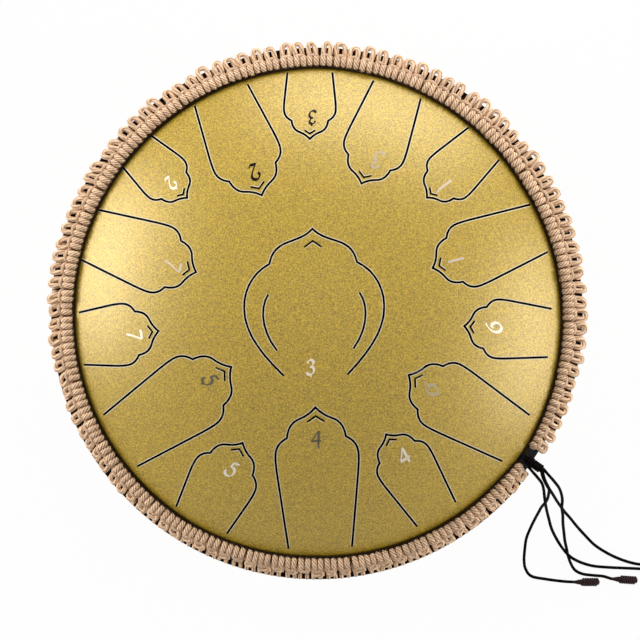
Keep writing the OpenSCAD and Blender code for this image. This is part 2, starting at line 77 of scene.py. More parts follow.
def both_sides(points):
    """A line of points followed by its mirror image across; the last point is met once."""
    return points + [(-across, out, up) for across, out, up in points[-2::-1]]


# Strands of one unit of the band: across, out from the band's middle radius and up from the
# seam, in ninths of a unit's width
HEAD_SHARES = [
    (2.3, -4.3, 4.0), (2.3, -4.5, 6.6), (2.25, -3.6, 8.3), (2.15, -1.9, 8.9), (2.0, -0.2, 8.5),
    (1.8, 0.9, 7.2), (1.6, 1.4, 4.4),
]
LOWER_HEAD_SHARES = [
    (1.9, 1.2, -3.6), (2.1, 3.0, -4.7), (2.1, 3.7, -6.6), (2.1, 3.2, -8.6), (2.1, 1.6, -10.0),
    (2.1, 0.2, -10.4),
]
BAR_SHARES = both_sides([(-4.5, -0.8, 4.6), (-4.1, 1.0, 6.2), (-2.5, 2.7, 7.1), (0, 3.2, 7.3)])
LOWER_BAR_SHARES = both_sides([(-4.7, 1.4, -3.6), (-4.1, 4.0, -4.4), (-2.4, 5.1, -4.9), (0, 5.4, -5.0)])
LOOP_SHARES = both_sides([
    (-2.2, 2.2, 4.9), (-2.45, 4.2, 5.5), (-2.5, 6.2, 5.3), (-2.4, 8.0, 4.7), (-1.6, 9.3, 4.2),
    (0, 9.7, 4.0),
])
SIDE_SHARES = [
    (2.3, 4.2, 3.4), (2.3, 6.5, 2.9), (2.3, 7.3, 1.4), (2.3, 7.3, -1.4), (2.3, 6.5, -2.9),
    (2.3, 4.4, -3.8),
]
# The loops reach freely from this far out. At the front they are shorter and rise, by these shares of
# their reach, faded in by a power of the sine of the angle; they are longest at one angle.
LOOP_START_SHARE = 2.2
FRONT_SHORTER_SHARE = 0.45
FRONT_RISE_SHARE = 0.11
FRONT_POWER = 1.6
LONGER_SHARE = 0.20
LONGER_ANGLE = 75
# Lean of the loops as a share of their reach: everywhere, turning with the drum's right, and at its
# front; and how much a leaning loop is tilted
LEAN_SHARES = (0.06, 0.21, 0.08)
LOOP_TILT_SHARE = 0.12
# Chance: spread of the lean, of the reach, and of a strand's shift and rise; range of a loop's width
LEAN_CHANCE_SHARE = 0.10
REACH_CHANCE_SHARE = 0.08
SHIFT_CHANCE_SHARE = 0.30
LOOP_WIDTH_SHARES = (0.78, 1.24)
LOOP_SEED = 5
SIDE_SEED = 7
# The side that a strand's twist is counted from: upward, with these shares along the rim's way out
# and along the rim
FACING_SHARES = (0.35, 0.2)
# How far the upper heads and the upper string stand out from their even ring, at every thirty
# degrees, in the same ninths; they climb the dome as they stand in
DRIFT_ANGLES = np.arange(0, 361, 30)
DRIFT_SHARES = (0.3, -1.6, -0.7, 1.3, 0, -0.9, -1.0, 0, 0.3, -0.6, 1.0, 2.6, 0.3)
DRIFT_CLIMB_SHARE = -0.9
# Sides of the tubes, and points of the ring of the dark cord inside the band
CORD_SIDES = 10
STRAND_SIDES = 8
BAR_SIDES = 6
CORE_POINTS = 240

# Numbers on the tongues: strokes across and up, in shares of the number's height
DIGIT_STROKES_SHARES = {
    1: [[(0.42, 1.0), (0.40, 0.66), (0.37, 0.33), (0.35, 0.0)]],
    2: [[(0.17, 0.64), (0.09, 0.74), (0.16, 0.92), (0.38, 1.0), (0.60, 0.91), (0.64, 0.72), (0.50, 0.48),
         (0.26, 0.22), (0.06, 0.04)],
        [(0.08, 0.05), (0.28, 0.07), (0.50, 0.04), (0.66, 0.18)]],
    3: [[(0.12, 0.76), (0.12, 0.90), (0.32, 1.0), (0.52, 0.92), (0.54, 0.75), (0.42, 0.60), (0.26, 0.54)],
        [(0.26, 0.55), (0.47, 0.52), (0.60, 0.34), (0.53, 0.10), (0.32, 0.0), (0.12, 0.04), (0.06, 0.18)]],
    4: [[(0.62, 1.0), (0.60, 0.66), (0.59, 0.33), (0.58, 0.0)],
        [(0.61, 1.0), (0.40, 0.72), (0.20, 0.48), (0.03, 0.31)],
        [(0.03, 0.30), (0.30, 0.31), (0.56, 0.31), (0.78, 0.34)]],
    5: [[(0.34, 0.93), (0.46, 0.95), (0.60, 0.95), (0.76, 1.0)],
        [(0.35, 0.95), (0.31, 0.82), (0.28, 0.70), (0.26, 0.58)],
        [(0.26, 0.57), (0.46, 0.62), (0.66, 0.48), (0.66, 0.20), (0.46, 0.0), (0.18, 0.02), (0.04, 0.18),
         (0.10, 0.32)]],
    6: [[(0.60, 1.0), (0.40, 0.90), (0.16, 0.66), (0.05, 0.36), (0.14, 0.10), (0.38, 0.0), (0.62, 0.12),
         (0.70, 0.36), (0.58, 0.58), (0.40, 0.62), (0.30, 0.50)]],
    7: [[(0.06, 0.86), (0.10, 0.95), (0.36, 0.96), (0.70, 0.98)],
        [(0.70, 0.98), (0.56, 0.70), (0.40, 0.36), (0.28, 0.0)]],
}
DIGIT_MIDDLE_SHARES = (0.36, 0.5)
DIGIT_WIDTH_SHARE = 0.88
SLANT_SHARE = 0.04
# Half width of a stroke: its thinnest, and what a stroke square to the nib adds; the nib's angle
PEN_THIN_SHARE = 0.034
PEN_BROAD_SHARE = 0.072
NIB_ANGLE = 40
# Dot: its radius, its middle's way from the number's middle, its place across, its points, and the
# half width of its very ends as a share of its radius
DOT_SHARE = 0.08
DOT_AWAY_SHARE = 0.60
DOT_ACROSS_SHARES = {4: 0.60, 7: 0.28}
DOT_POINTS = 13
DOT_TIP_SHARE = 0.02
# Strokes: steps between their points, and the share of their width at an end and its gain a step
STROKE_STEPS = 5
STROKE_END_SHARES = (0.5, 0.4)

# Tongue, number, place of its middle in millimetres, the angle of its up direction, its height in
# millimetres, the side of its dot (up 1, down -1, none 0) and the tone of its foil, which is a painted
# reflection
NUMBERS = [
    ("low_3", 3, (-4.0, -35.7), 91.3, 9.7, -1, "cream"),
    ("low_4", 4, (-1.0, -82.9), 92.0, 10.0, -1, "slate"),
    ("low_5", 5, (-71.2, -43.6), 33.6, 10.0, -1, "slate"),
    ("low_6", 6, (75.1, -49.9), 149.5, 11.0, -1, "grey"),
    ("low_7", 7, (-95.2, 31.8), 340.6, 10.0, -1, "pale"),
    ("mid_1", 1, (92.5, 35.2), 200.6, 11.3, 0, "pale"),
    ("mid_2", 2, (-41.6, 94.3), 292.1, 10.8, 0, "black"),
    ("mid_3", 3, (40.1, 102.3), 249.2, 11.3, 0, "faint"),
    ("mid_4", 4, (57.3, -95.4), 122.1, 11.0, 0, "bright"),
    ("mid_5", 5, (-57.1, -103.6), 61.9, 10.2, 0, "bright"),
    ("mid_6", 6, (117.6, -9.3), 175.5, 10.8, 0, "cream"),
    ("mid_7", 7, (-121.9, -14.3), 5.5, 10.5, 0, "cream"),
    ("high_1", 1, (85.5, 85.5), 223.5, 11.0, 1, "pale"),
    ("high_2", 2, (-97.5, 87.3), 317.1, 9.1, 1, "cream"),
    ("high_3", 3, (-3.3, 130.8), 270.0, 8.9, 1, "black"),
]

# Lip of the trim: its inner and outer radius, half its span in degrees, its points and thickness
LIP_R = 166.0 * MM
LIP_OUTER_R = 172.6 * MM
LIP_HALF_SPAN = 3.2
LIP_STEPS = 13
LIP_HIGH = 0.5 * MM

# The foil's underside, which is the lip's too, and its top, over the steel
FOIL_LOW = 0.02 * MM
FOIL_HIGH = 0.10 * MM

# Outlines of the tongues as the drum's source gives them. For each: the angle of its root and its
# lean in degrees, then its root's radius, its length, its half width and its root's half width, as
# shares of the dome's radius
TONGUE_SHARES = {
    "low_4": (270.8, 1.2, 0.930, 0.559, 0.165, 0.127),
    "mid_4": (300.7, 1.4, 0.928, 0.377, 0.116, 0.091),
    "low_6": (327.9, 1.6, 0.932, 0.496, 0.140, 0.107),
    "mid_6": (355.2, 0.3, 0.927, 0.342, 0.117, 0.097),
    "mid_1": (21.0, -0.4, 0.945, 0.454, 0.131, 0.101),
    "high_1": (45.5, -2.0, 0.946, 0.314, 0.106, 0.089),
    "mid_3": (70.3, -1.1, 0.945, 0.402, 0.125, 0.101),
    "high_3": (91.7, -1.7, 0.958, 0.266, 0.103, 0.090),
    "mid_2": (113.7, -1.6, 0.948, 0.433, 0.140, 0.114),
    "high_2": (138.0, -0.9, 0.963, 0.274, 0.102, 0.085),
    "low_7": (160.9, -0.3, 0.961, 0.456, 0.137, 0.105),
    "mid_7": (186.1, -0.6, 0.941, 0.310, 0.123, 0.105),
    "low_5": (212.9, 0.7, 0.930, 0.531, 0.155, 0.123),
    "mid_5": (240.8, 1.1, 0.940, 0.349, 0.134, 0.115),
}
CENTRE_SHARES = (268.8, 2.5, 0.241, 0.575)
CENTRE_LENGTH_SHARE = 2.08
# Cubic curves from the tip, across and along, in shares of a tongue's half width
RIM_CURVE_SHARES = [
    [(0, 0), (0.12, 0.13), (0.24, 0.21), (0.40, 0.27)],
    [(0.40, 0.27), (0.57, 0.335), (0.67, 0.46), (0.707, 0.716)],
    [(0.707, 0.716), (0.87, 0.80), (1.0, 0.92), (1.0, 1.18)],
]
RIM_BEND_SHARE = 1.36
RIM_BEND_END_SHARE = 0.14
CENTRE_CURVE_SHARES = [
    [(0, 0), (0.09, 0.10), (0.20, 0.13), (0.34, 0.18)],
    [(0.34, 0.18), (0.52, 0.24), (0.59, 0.33), (0.626, 0.49)],
    [(0.626, 0.49), (0.85, 0.60), (1.0, 0.83), (1.0, 1.12)],
    [(1.0, 1.12), (1.0, 1.45), (0.80, 1.74), (0.465, 2.08)],
]
RIM_CHEVRON_SHARES = (0.209, 0.209, 0.345)
CENTRE_CHEVRON_SHARES = (0.123, 0.174, 0.262)
CENTRE_ARC_SHARES = [(0.649, 0.925), (0.78, 1.10), (0.76, 1.45), (0.545, 1.724)]
CURVE_STEPS = 7
SIDE_STEPS = 14
# Half widths of a slit and of a chevron, then the width and half the thickness of their bright edges,
# which carry a painted highlight
SLIT_HALF = 0.75 * MM
CHEVRON_HALF = 0.65 * MM
EDGE_W = 0.48 * MM
EDGE_HIGH = 0.04 * MM

# Routes of the four tails, as the drum's source gives them, in millimetres: where each leaves the
# drum, then the points that it passes
TAIL_ROUTES = [
    [(150.381, -105.857, 100.215), (151.5, -110, 98.5), (154, -115, 94), (156, -118.5, 85),
     (156, -122, 74), (155.5, -125.5, 63), (154, -128.5, 53), (152, -131.5, 43), (150.5, -135, 33),
     (148, -140.5, 22), (145.5, -146.5, 12.5), (143, -153.5, 5), (142, -161, 1.05),
     (141.5, -168.5, 1.05), (142.5, -174.5, 1.05), (146.5, -179.5, 1.05), (156, -181.5, 1.05),
     (167.5, -183, 1.5), (176.5, -183.5, 3), (180, -183.5, 3)],
    [(142, -103, 86), (145, -106.5, 85.5), (148.5, -110.5, 82), (151.5, -114.5, 76), (153, -119, 66),
     (154, -125, 53), (155.5, -132, 39), (157.5, -139, 26), (160, -147, 15), (164.5, -155.5, 5.5),
     (169, -162, 1.05), (173.5, -166.5, 1.05), (180, -170, 1.05), (188.5, -172.5, 1.05),
     (199, -173.5, 1.05), (210, -174, 1.05), (221, -174.5, 1.05), (229, -175, 1.6),
     (235, -175.5, 3), (238.5, -175.5, 3)],
    [(151.637, -104.051, 100.215), (155, -108, 99), (159, -112.5, 95), (162.5, -117, 88),
     (164.5, -121.5, 78), (165.5, -126, 68), (165.5, -131.5, 57), (166.5, -136.5, 46),
     (167, -142.5, 35), (168, -149, 24), (169, -155, 14), (170.5, -161, 6.5), (171.5, -165.5, 3.7),
     (173.5, -171, 2), (176.5, -175.5, 1.05), (181.5, -178, 1.05), (188, -178.9, 1.05),
     (195.5, -179.6, 1.05), (201.5, -181.3, 2.4), (206, -181.6, 3)],
    [(151.009, -104.954, 102.12), (152.5, -111, 101.5), (155.5, -117, 95.5), (158.5, -121.5, 84),
     (161.5, -126, 68), (164.5, -130, 51), (168, -134.5, 37), (172.5, -139.5, 25), (177.5, -145.5, 14),
     (183.5, -152, 6), (189.5, -158, 1.05), (197, -163, 1.05), (205, -167, 1.05), (213.5, -170, 1.05),
     (221.5, -171.5, 1.05), (231, -171, 1.05), (241.5, -169.5, 1.05), (250, -167.5, 1.6),
     (256, -166, 3), (259, -165.5, 3)],
]
# Directions that no tail, and that the lower string, ever runs along
TAIL_SIDE = (-0.6, 0, 0.8)
LOWER_SIDE = (-0.75, 0.55, 0.25)
TAIL_STEPS = 6
STRING_STEPS = 4
# Ring of the upper string: its points, how near it comes to the gathering knot and over which stretch
# it moves out there, both in degrees, and how far it moves out
RING_POINTS = 121
RING_NEAR = 1.9
RING_STRETCH = 7
RING_OUT = 0.8 * MM
# Its ends: how far inside the knot and how far apart, in degrees
RING_END_IN = 1.5 * MM
RING_END_APART = 0.25
# Lower string: its points, and the degrees that it leaves free after and before the band's gap; then
# its rise to the knot, as radius in millimetres, degrees past the knot and height in millimetres
LOWER_POINTS = 110
LOWER_FREE = (3.0, 3.4)
LOWER_RISE = [(178.2, 0, 97.2), (178.2, 0.1, 92), (176.7, 0.5, 87), (172.35, 1.6, 83.4)]

# Wrapped knots: their turns, the steps of a turn, and the drawing in of the wraps' start and end, as
# the share of their reach at the very end and its gain a turn
KNOT_TURNS = 7
TURN_STEPS = 16
WRAP_START_SHARES = (0.55, 1.6)
WRAP_END_SHARES = (0.6, 5)
# The wrap's radius, the lead before the wraps and the stub after them, in shares of the cord's radius
END_KNOT_SHARES = (0.9, 4.4, 0.5)
GATHER_KNOT_SHARES = (1.0, 1.2, 0.8)
# How far the wraps of an end knot lie inside, and those of the gathering knot outside, the plain reach
END_WRAPS_IN = 0.05 * MM
GATHER_WRAPS_OUT = 0.1 * MM
# The doubled cord in a knot: how much thicker it is than one, where in the stub it is thin again, the
# stretch over which it thins, and its last ring
CORE_SWELL_SHARE = 1.1
STUB_PLACE_SHARE = 0.6
STUB_STRETCH_SHARE = 0.8
STUB_END_SHARE = 0.7

# Camera's range of sight, in metres
CLIP_NEAR = 0.1
CLIP_FAR = 100
# Lamps: name, place, width and depth in metres, the property that holds its power, and its share of
# that. All aim at the middle of the seam.
LAMPS = [
    ("back_lamp", (0.8, 3.0, 1.0), 3.4, 1.4, "back_power", 1.0),
    ("left_lamp", (-3.0, 0.7, 0.95), 2.4, 1.2, "side_power", 1.45),
    ("right_lamp", (3.1, -0.3, 0.95), 2.4, 1.2, "side_power", 1.0),
    ("top_lamp", (0.3, 0.6, 4.4), 2.0, 2.0, "top_power", 1.0),
]
WHITE = (1, 1, 1, 1)
# Painted shadow on the floor right under the drum, seen only through the sound hole: its share of the
# floor's colour, and the radii between which it gives way to the floor; then those between which the floor
# turns white
FLOOR_PAINTED_SHADOW_SHARE = 0.06
PAINTED_SHADOW_RADII = (70 * MM, 105 * MM)
SHADOW_RADII = (110 * MM, 175 * MM)


def length_property(name, description, size):
    """Property that holds a length, with its default in metres."""
    return bpy.props.FloatProperty(name=name, description=description, default=size, unit="LENGTH")


def power_property(name, description, watts):
    """Property that holds a lamp's power."""
    return bpy.props.FloatProperty(name=name, description=description, default=watts, unit="POWER")


def colour_property(name, description, *colour):
    """Property that holds a colour, with its default as red, green and blue."""
    return bpy.props.FloatVectorProperty(
        name=name, description=description, default=colour, subtype="COLOR")


class DrumStageSizes(bpy.types.PropertyGroup):
    """Camera, floor and lamps."""

    camera_height: length_property("Camera height", "Height of the camera over the floor", 5.096)
    camera_x: length_property("Camera X", "Camera's place across the drum", 0.0020)
    camera_y: length_property("Camera Y", "Camera's place along the drum", -0.0044)
    frame_width: length_property("Frame width", "Width of the picture at the drum's rim", 0.4294)
    floor_size: length_property("Floor size", "Length of the floor's side", 24)
    floor_colour: colour_property("Floor", "Colour of the floor", 0.86, 0.86, 0.86)
    floor_glow: bpy.props.FloatProperty(
        name="Floor whiteness", description="Share of plain white in the floor as the camera sees it",
        default=0.96, subtype="FACTOR")
    world_strength: bpy.props.FloatProperty(
        name="Sky", description="Strength of the even light from all round", default=0.42)
    back_power: power_property("Back lamp", "Power of the wide lamp behind the drum", 84)
    side_power: power_property("Side lamps", "Power of the right lamp, which the left one follows", 60)
    top_power: power_property("Top lamp", "Power of the lamp over the drum", 5)


class DrumCordSizes(bpy.types.PropertyGroup):
    """Dark cords, and the strands of the hemp band."""

    cord_d: length_property("Cord", "Diameter of the dark cord", 2.1 * MM)
    wrap_r: length_property("Wrap radius", "Radius of the middle line of a knot's wraps", 2.05 * MM)
    string_d: length_property(
        "Upper string", "Diameter of the upper drawstring, pressed thin by the band", 1.6 * MM)
    string_r: length_property("Upper string radius", "Radius of the upper drawstring's ring", 163.7 * MM)
    string_z: length_property("Upper string height", "Height of the upper drawstring", 101.1 * MM)
    lower_string_r: length_property(
        "Lower string radius", "Radius of the lower drawstring's ring", 169.35 * MM)
    lower_string_z: length_property("Lower string height", "Height of the lower drawstring", 82.33 * MM)
    head_d: length_property("Head strand", "Diameter of the knots' two inner strands", 4.2 * MM)
    bar_d: length_property("Bar strand", "Diameter of the strand round the heads", 2.6 * MM)
    loop_d: length_property("Loop strand", "Diameter of the strand of the outer loops", 3.4 * MM)
    side_d: length_property("Side strand", "Diameter of the strands over the rim", 3.0 * MM)
    core_d: length_property("Core", "Diameter of the dark cord inside the band", 4.6 * MM)
    core_r: length_property("Core radius", "Radius of the ring of the cord inside the band", 176.2 * MM)
    head_lay: length_property("Head lay", "Length of one turn of the twist of the knots' strands", 11 * MM)
    loop_lay: length_property("Loop lay", "Length of one turn of the loops' twist", 34 * MM)
    cord_lay: length_property("Cord lay", "Length of one turn of the dark cord's twist", 6 * MM)


class DrumColours(bpy.types.PropertyGroup):
    """Colours of the drum's finishes."""

    gold: colour_property("Gold", "Colour of the sprayed gold", 0.400, 0.260, 0.011)
    # Inside: near-black painted shade on the shells' inner faces and cut walls, for the dark inside the
    # drum
    inside: colour_property("Inside", "Painted shade inside the shells and on cut walls", 0.012, 0.010, 0.008)
    hemp: colour_property("Hemp", "Colour of the hemp cord", 0.90, 0.62, 0.41)
    # Painted shade: darker colours for the hollows between the plies of the knots and of the loops
    hemp_painted_shade: colour_property("Hemp painted shade", "Colour between the hemp's plies", 0.22, 0.10, 0.045)
    loop_painted_shade: colour_property(
        "Loop painted shade", "Colour between the plies of the outer loops", 0.42, 0.23, 0.12)
    cord: colour_property("Cord", "Colour of the dark cord", 0.0055, 0.0030, 0.0034)
    # End knots: a lighter, browner cord than the tails
    end_cord: colour_property("End knots", "Colour of the lighter cord of the end knots", 0.042, 0.021, 0.023)
    # Upper string: a near-black cord whose brown is a painted reflection of the gold beside it
    string_painted_reflection: colour_property("Upper string", "Colour of the upper drawstring", 0.034, 0.015, 0.003)
    # Painted shade: darker colour for the hollows between the dark cord's plies
    cord_painted_shade: colour_property("Cord painted shade", "Colour between the dark cord's plies", 0.003, 0.002, 0.002)
    rubber: colour_property("Rubber", "Colour of the trim and the feet", 0.006, 0.006, 0.006)
    zinc: colour_property("Zinc", "Colour of the screws, washers and nuts", 0.52, 0.53, 0.55)
    # Slit edges: a painted highlight along the cut
    painted_edge_highlight: colour_property("Edge highlight", "Colour of the bright edges of the slits", 0.70, 0.62, 0.42)


# Mix node: the numbers of its first input and of its output for colours and for vectors
MIX_SOCKETS = {"RGBA": (6, 2), "VECTOR": (4, 1)}
# Noises, as detail and roughness, and the range of one that is stretched over a whole change
SOFT_NOISE = (2.0, 0.5)
ROUGH_NOISE = (3.0, 0.6)
GRAIN_NOISE = (2.0, 0.55)
FINE_NOISE = (1.0, 0.5)
NOISE_RANGE = (0.3, 0.7)
# Gold: roughness, metal and gloss, the shades of its grain, and how fine that is; then how many times
# finer its fine noise is, and what share of its height that adds
GOLD_METALLIC = 0.18
GOLD_GLOSS = (0.41, GOLD_METALLIC, 0.92)
GOLD_TONE_SHARES = (0.46, 1.50)
GRAIN_SCALE = 950.0
FINE_SCALE_SHARE = 3.3
FINE_HEIGHT_SHARE = 0.35
# Least cosine between a face and the round direction for a round normal, and the range of cosines
# over which the near-black painted shade of the inside and of cut walls gives way to gold
ROUND_LIMIT = 0.97
OUTSIDE_RANGE = (0.4, 0.6)
# Reliefs, as strength and distance
GRAIN_RELIEF = (0.35, 0.12 * MM)
CORD_RELIEF = (0.9, 0.35 * MM)
RUBBER_RELIEF = (0.15, 0.1 * MM)
# Cords: looks of the kinds, then the shades along a strand, how fine these and the fibres are, and
# where in a ply the painted shade of the hollow gives way to the strand's colour
DARK_LOOK = {"plies": 3, "roughness": 0.8, "fibre": 0.35, "specular": 0.03}
SHINIER_CORD_LOOK = {"plies": 3, "roughness": 0.55, "fibre": 0.35, "specular": 0.08}
HEAD_LOOK = {"plies": 6, "roughness": 0.85, "fibre": 0.45, "specular": 0.08}
LOOP_LOOK = {"plies": 4, "roughness": 0.85, "fibre": 0.45, "specular": 0.08}
CORD_TONE_SHARES = (0.80, 1.15)
MOTTLE_SCALE = 160.0
FIBRE_SCALE = 900.0
PLY_RANGE = (0.32, 0.90)
# Mottled finishes: roughness, metal and gloss; the noise's scale, detail and roughness; the shades
ZINC_LOOK = ((0.3, 1.0, 0.5), (700.0, *ROUGH_NOISE), (0.8, 1.15))
# Slit edges: their look, a painted highlight
EDGE_LOOK = ((0.5, 0.0, 0.5), (260.0, *ROUGH_NOISE), (0.85, 1.1))
FOIL_LOOK = ((0.4, 0.3, 0.1), (400.0, *SOFT_NOISE), (0.9, 1.08))
ZINC_ROUGHNESSES = (0.22, 0.42)
# Rubber: gloss, its noise and shades; the scale and range of its change of roughness, as shares of
# the roughness; then the roughness and the grain's scale of the trim and of the feet
RUBBER_SPECULAR = 0.15
RUBBER_CLOUD = (60.0, *SOFT_NOISE)
RUBBER_TONE_SHARES = (0.75, 1.6)
RUBBER_GLOSS_SCALE = 90.0
RUBBER_GLOSS_SHARES = (0.8, 1.25)
TRIM_RUBBER = (0.38, 500.0)
FOOT_RUBBER = (0.6, 900.0)
# Foil numbers: a fixed tone for each, a painted reflection of the bright or dark surroundings that its
# foil faces
FOIL_PAINTED_REFLECTIONS = {
    "cream": (0.82, 0.70, 0.55),
    "bright": (0.74, 0.66, 0.54),
    "pale": (0.57, 0.47, 0.36),
    "faint": (0.42, 0.33, 0.22),
    "grey": (0.44, 0.36, 0.24),
    "slate": (0.13, 0.11, 0.075),
    "black": (0.006, 0.006, 0.006),
}
LEVEL = np.array([1, 1, 0])
UPWARD = np.array([0, 0, 1.0])


# Shapes

def unit(v):
    """Each vector over its own length."""
    return v / np.linalg.norm(v, axis=-1, keepdims=True)


def polar(r, angle, z):
    """Points at a radius, an angle in degrees and a height: (r cos a, r sin a, z)."""
    a = np.radians(angle)
    return np.stack(np.broadcast_arrays(r * np.cos(a), r * np.sin(a), z), axis=-1)


def smooth(points, steps):
    """Curve through points, each stretch a cubic whose slope at a point is half the way from the
    point before to the point after."""
    p = np.asarray(points, dtype=float)
    ends = np.concatenate([2 * p[:1] - p[1:2], p, 2 * p[-1:] - p[-2:-1]])
    before, start, end, after = ends[:-3], ends[1:-2], ends[2:-1], ends[3:]
    t = (np.arange(steps) / steps)[None, :, None]
    curve = (2 * start[:, None] + (end - before)[:, None] * t
             + (2 * before - 5 * start + 4 * end - after)[:, None] * t ** 2
             + (3 * start - before - 3 * end + after)[:, None] * t ** 3) / 2
    return np.concatenate([curve.reshape(-1, p.shape[1]), p[-1:]])


def along(paths):
    """Length run along each path up to each of its points."""
    step = np.linalg.norm(np.diff(paths, axis=-2), axis=-1)
    return np.concatenate([np.zeros_like(step[..., :1]), np.cumsum(step, axis=-1)], axis=-1)


def ring_tube(paths, radius, sides, toward):
    """Rings on paths: centre + radius × (cos a × side + sin a × (direction × side)), where side is
    the part of the vector toward that is square to the path."""
    paths = np.asarray(paths, dtype=float)
    way = unit(np.gradient(paths, axis=-2))
    toward = np.broadcast_to(np.asarray(toward, dtype=float), paths.shape)
    side = unit(toward - np.sum(toward * way, axis=-1, keepdims=True) * way)
    up = np.cross(way, side)
    a = 2 * math.pi * np.arange(sides) / sides
    reach = np.broadcast_to(radius, paths.shape[:-1])[..., None, None]
    return paths[..., None, :] + reach * (np.cos(a)[:, None] * side[..., None, :]
                                          + np.sin(a)[:, None] * up[..., None, :])


def skin(name, rings, run):
    """Mesh over rings given as paths × points × sides: four-sided faces between neighbouring rings,
    and a flat face at each end. Its UV map is the share of the way round and the length run."""
    paths, points, sides = rings.shape[:3]
    index = np.arange(paths * points * sides).reshape(paths, points, sides)
    turned = np.roll(index, -1, axis=2)
    quads = np.stack([index[:, :-1], turned[:, :-1], turned[:, 1:], index[:, 1:]], axis=-1).reshape(-1, 4)
    caps = np.concatenate([index[:, 0, ::-1], index[:, -1]])
    mesh = bpy.data.meshes.new(name)
    mesh.from_pydata(rings.reshape(-1, 3).tolist(), [], quads.tolist() + caps.tolist())
    round_share = np.arange(sides) / sides
    next_share = round_share + 1 / sides
    u = np.stack([round_share, next_share, next_share, round_share], axis=-1)
    u = np.broadcast_to(u, (paths, points - 1, sides, 4))
    low = np.broadcast_to(run[:, :-1, None], u.shape[:3])
    high = np.broadcast_to(run[:, 1:, None], u.shape[:3])
    v = np.stack([low, low, high, high], axis=-1)
    uv = np.stack([u, v], axis=-1).reshape(-1, 2)
    cap_v = np.concatenate([run[:, 0], run[:, -1]])[:, None]
    cap_uv = np.stack(np.broadcast_arrays(round_share, cap_v), axis=-1).reshape(-1, 2)
    layer = mesh.uv_layers.new(name="lay")
    layer.data.foreach_set("uv", np.concatenate([uv, cap_uv]).astype(np.float32).ravel())
    mesh.shade_smooth()
    return mesh


def spread(rings, run, points):
    """Rings taken at even steps of their number, by straight steps between neighbours."""
    at = np.linspace(0, rings.shape[1] - 1, points)
    low = np.minimum(at.astype(int), rings.shape[1] - 2)
    part = at - low
    even = rings[:, low] * (1 - part)[:, None, None] + rings[:, low + 1] * part[:, None, None]
    return even, run[:, low] * (1 - part) + run[:, low + 1] * part


def joined(parts):
    """Rings of several tubes with as many sides, as one set, each with the points of the longest."""
    most = max(rings.shape[1] for rings, _ in parts)
    even = [spread(rings, run, most) for rings, run in parts]
    return np.concatenate([rings for rings, _ in even]), np.concatenate([run for _, run in even])


def ribbon(right, left, low, high):
    """Closed thin sheet between two lines on the dome: at each point four corners, lifted off the
    steel by low and by high."""
    corners = [(right, low), (left, low), (left, high), (right, high)]
    rings = np.stack([np.concatenate([line, (dome_height(line[..., 0], line[..., 1]) + lift)[..., None]],
                                     axis=-1) for line, lift in corners], axis=1)
    return rings[None], along(rings[None, :, 0])


def new_object(name, data):
    """Object in the scene for a mesh, lamp or camera."""
    made = bpy.data.objects.new(name, data)
    bpy.context.scene.collection.objects.link(made)
    return made


def add_piece(name, tubes, material, nodes=(), body="drum", flat=False):
    """Puts the mesh over some tubes in the scene, riding on its body and standing for its nodes."""
    mesh = skin(name, *tubes)
    if flat:
        mesh.shade_flat()
    mesh.materials.append(material)
    piece = new_object(name, mesh)
    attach(piece, body)
    if nodes:
        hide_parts(*nodes)
    return piece


def dome_height(x, y):
    """Height of the dome's outside over a place: the ball's middle + √(radius² − x² − y²)."""
    return SPHERE_Z + np.sqrt(SPHERE_R ** 2 - x ** 2 - y ** 2)


# Finishes

def put(tree, value, socket):
    """Gives a socket a value or links another socket to it; None leaves it as it is."""
    if isinstance(value, bpy.types.NodeSocket):
        tree.links.new(value, socket)
    elif value is not None:
        socket.default_value = value


def node(tree, kind, *values, **settings):
    """New shader node of a kind with its settings, and with values or links for its inputs in their
    order."""
    made = tree.nodes.new("ShaderNode" + kind)
    for name, value in settings.items():
        setattr(made, name, value)
    for socket, value in zip(made.inputs, values):
        put(tree, value, socket)
    return made


def new_group(name, inputs, outputs):
    """Empty shader node group with its sockets; returns its tree and its two end nodes."""
    tree = bpy.data.node_groups.new(name, "ShaderNodeTree")
    for socket, kind, value in inputs:
        made = tree.interface.new_socket(name=socket, in_out="INPUT", socket_type=kind)
        if value is not None:
            made.default_value = value
    for socket, kind in outputs:
        tree.interface.new_socket(name=socket, in_out="OUTPUT", socket_type=kind)
    return tree, tree.nodes.new("NodeGroupInput"), tree.nodes.new("NodeGroupOutput")


def group_node(tree, name, **values):
    """One of the shader groups in a tree, with values for its inputs."""
    made = node(tree, "Group", node_tree=bpy.data.node_groups[name])
    for socket, value in values.items():
        put(tree, value, made.inputs[socket])
    return made


def object_place(tree):
    return node(tree, "TexCoord").outputs["Object"]


def maths(tree, operation, *values):
    return node(tree, "Math", *values, operation=operation).outputs[0]


def vector_maths(tree, operation, *values):
    """A vector, or a number from the operations that give one."""
    made = node(tree, "VectorMath", *values, operation=operation)
    return made.outputs["Value" if operation in ("DOT_PRODUCT", "LENGTH") else "Vector"]


def scaled(tree, vector, factor):
    return vector_maths(tree, "SCALE", vector, None, None, factor)


def noise(tree, place, scale, detail, roughness):
    return node(tree, "TexNoise", place, None, scale, detail, roughness).outputs[0]


def between(tree, value, low, high, to_low=0.0, to_high=1.0):
    """Maps a value from one range to another, held at both ends."""
    return node(tree, "MapRange", value, low, high, to_low, to_high).outputs[0]


def mixed(tree, share, first, second, kind="RGBA"):
    """Mix of two colours by a share, or of two vectors where the kind says so."""
    made = node(tree, "Mix", share, data_type=kind)
    first_input, output = MIX_SOCKETS[kind]
    put(tree, first, made.inputs[first_input])
    put(tree, second, made.inputs[first_input + 1])
    return made.outputs[output]


def bump(tree, height, relief, normal=None):
    """Normal turned by a height, whose relief is a strength and a distance."""
    made = node(tree, "Bump", *relief)
    put(tree, height, made.inputs["Height"])
    put(tree, normal, made.inputs["Normal"])
    return made.outputs[0]


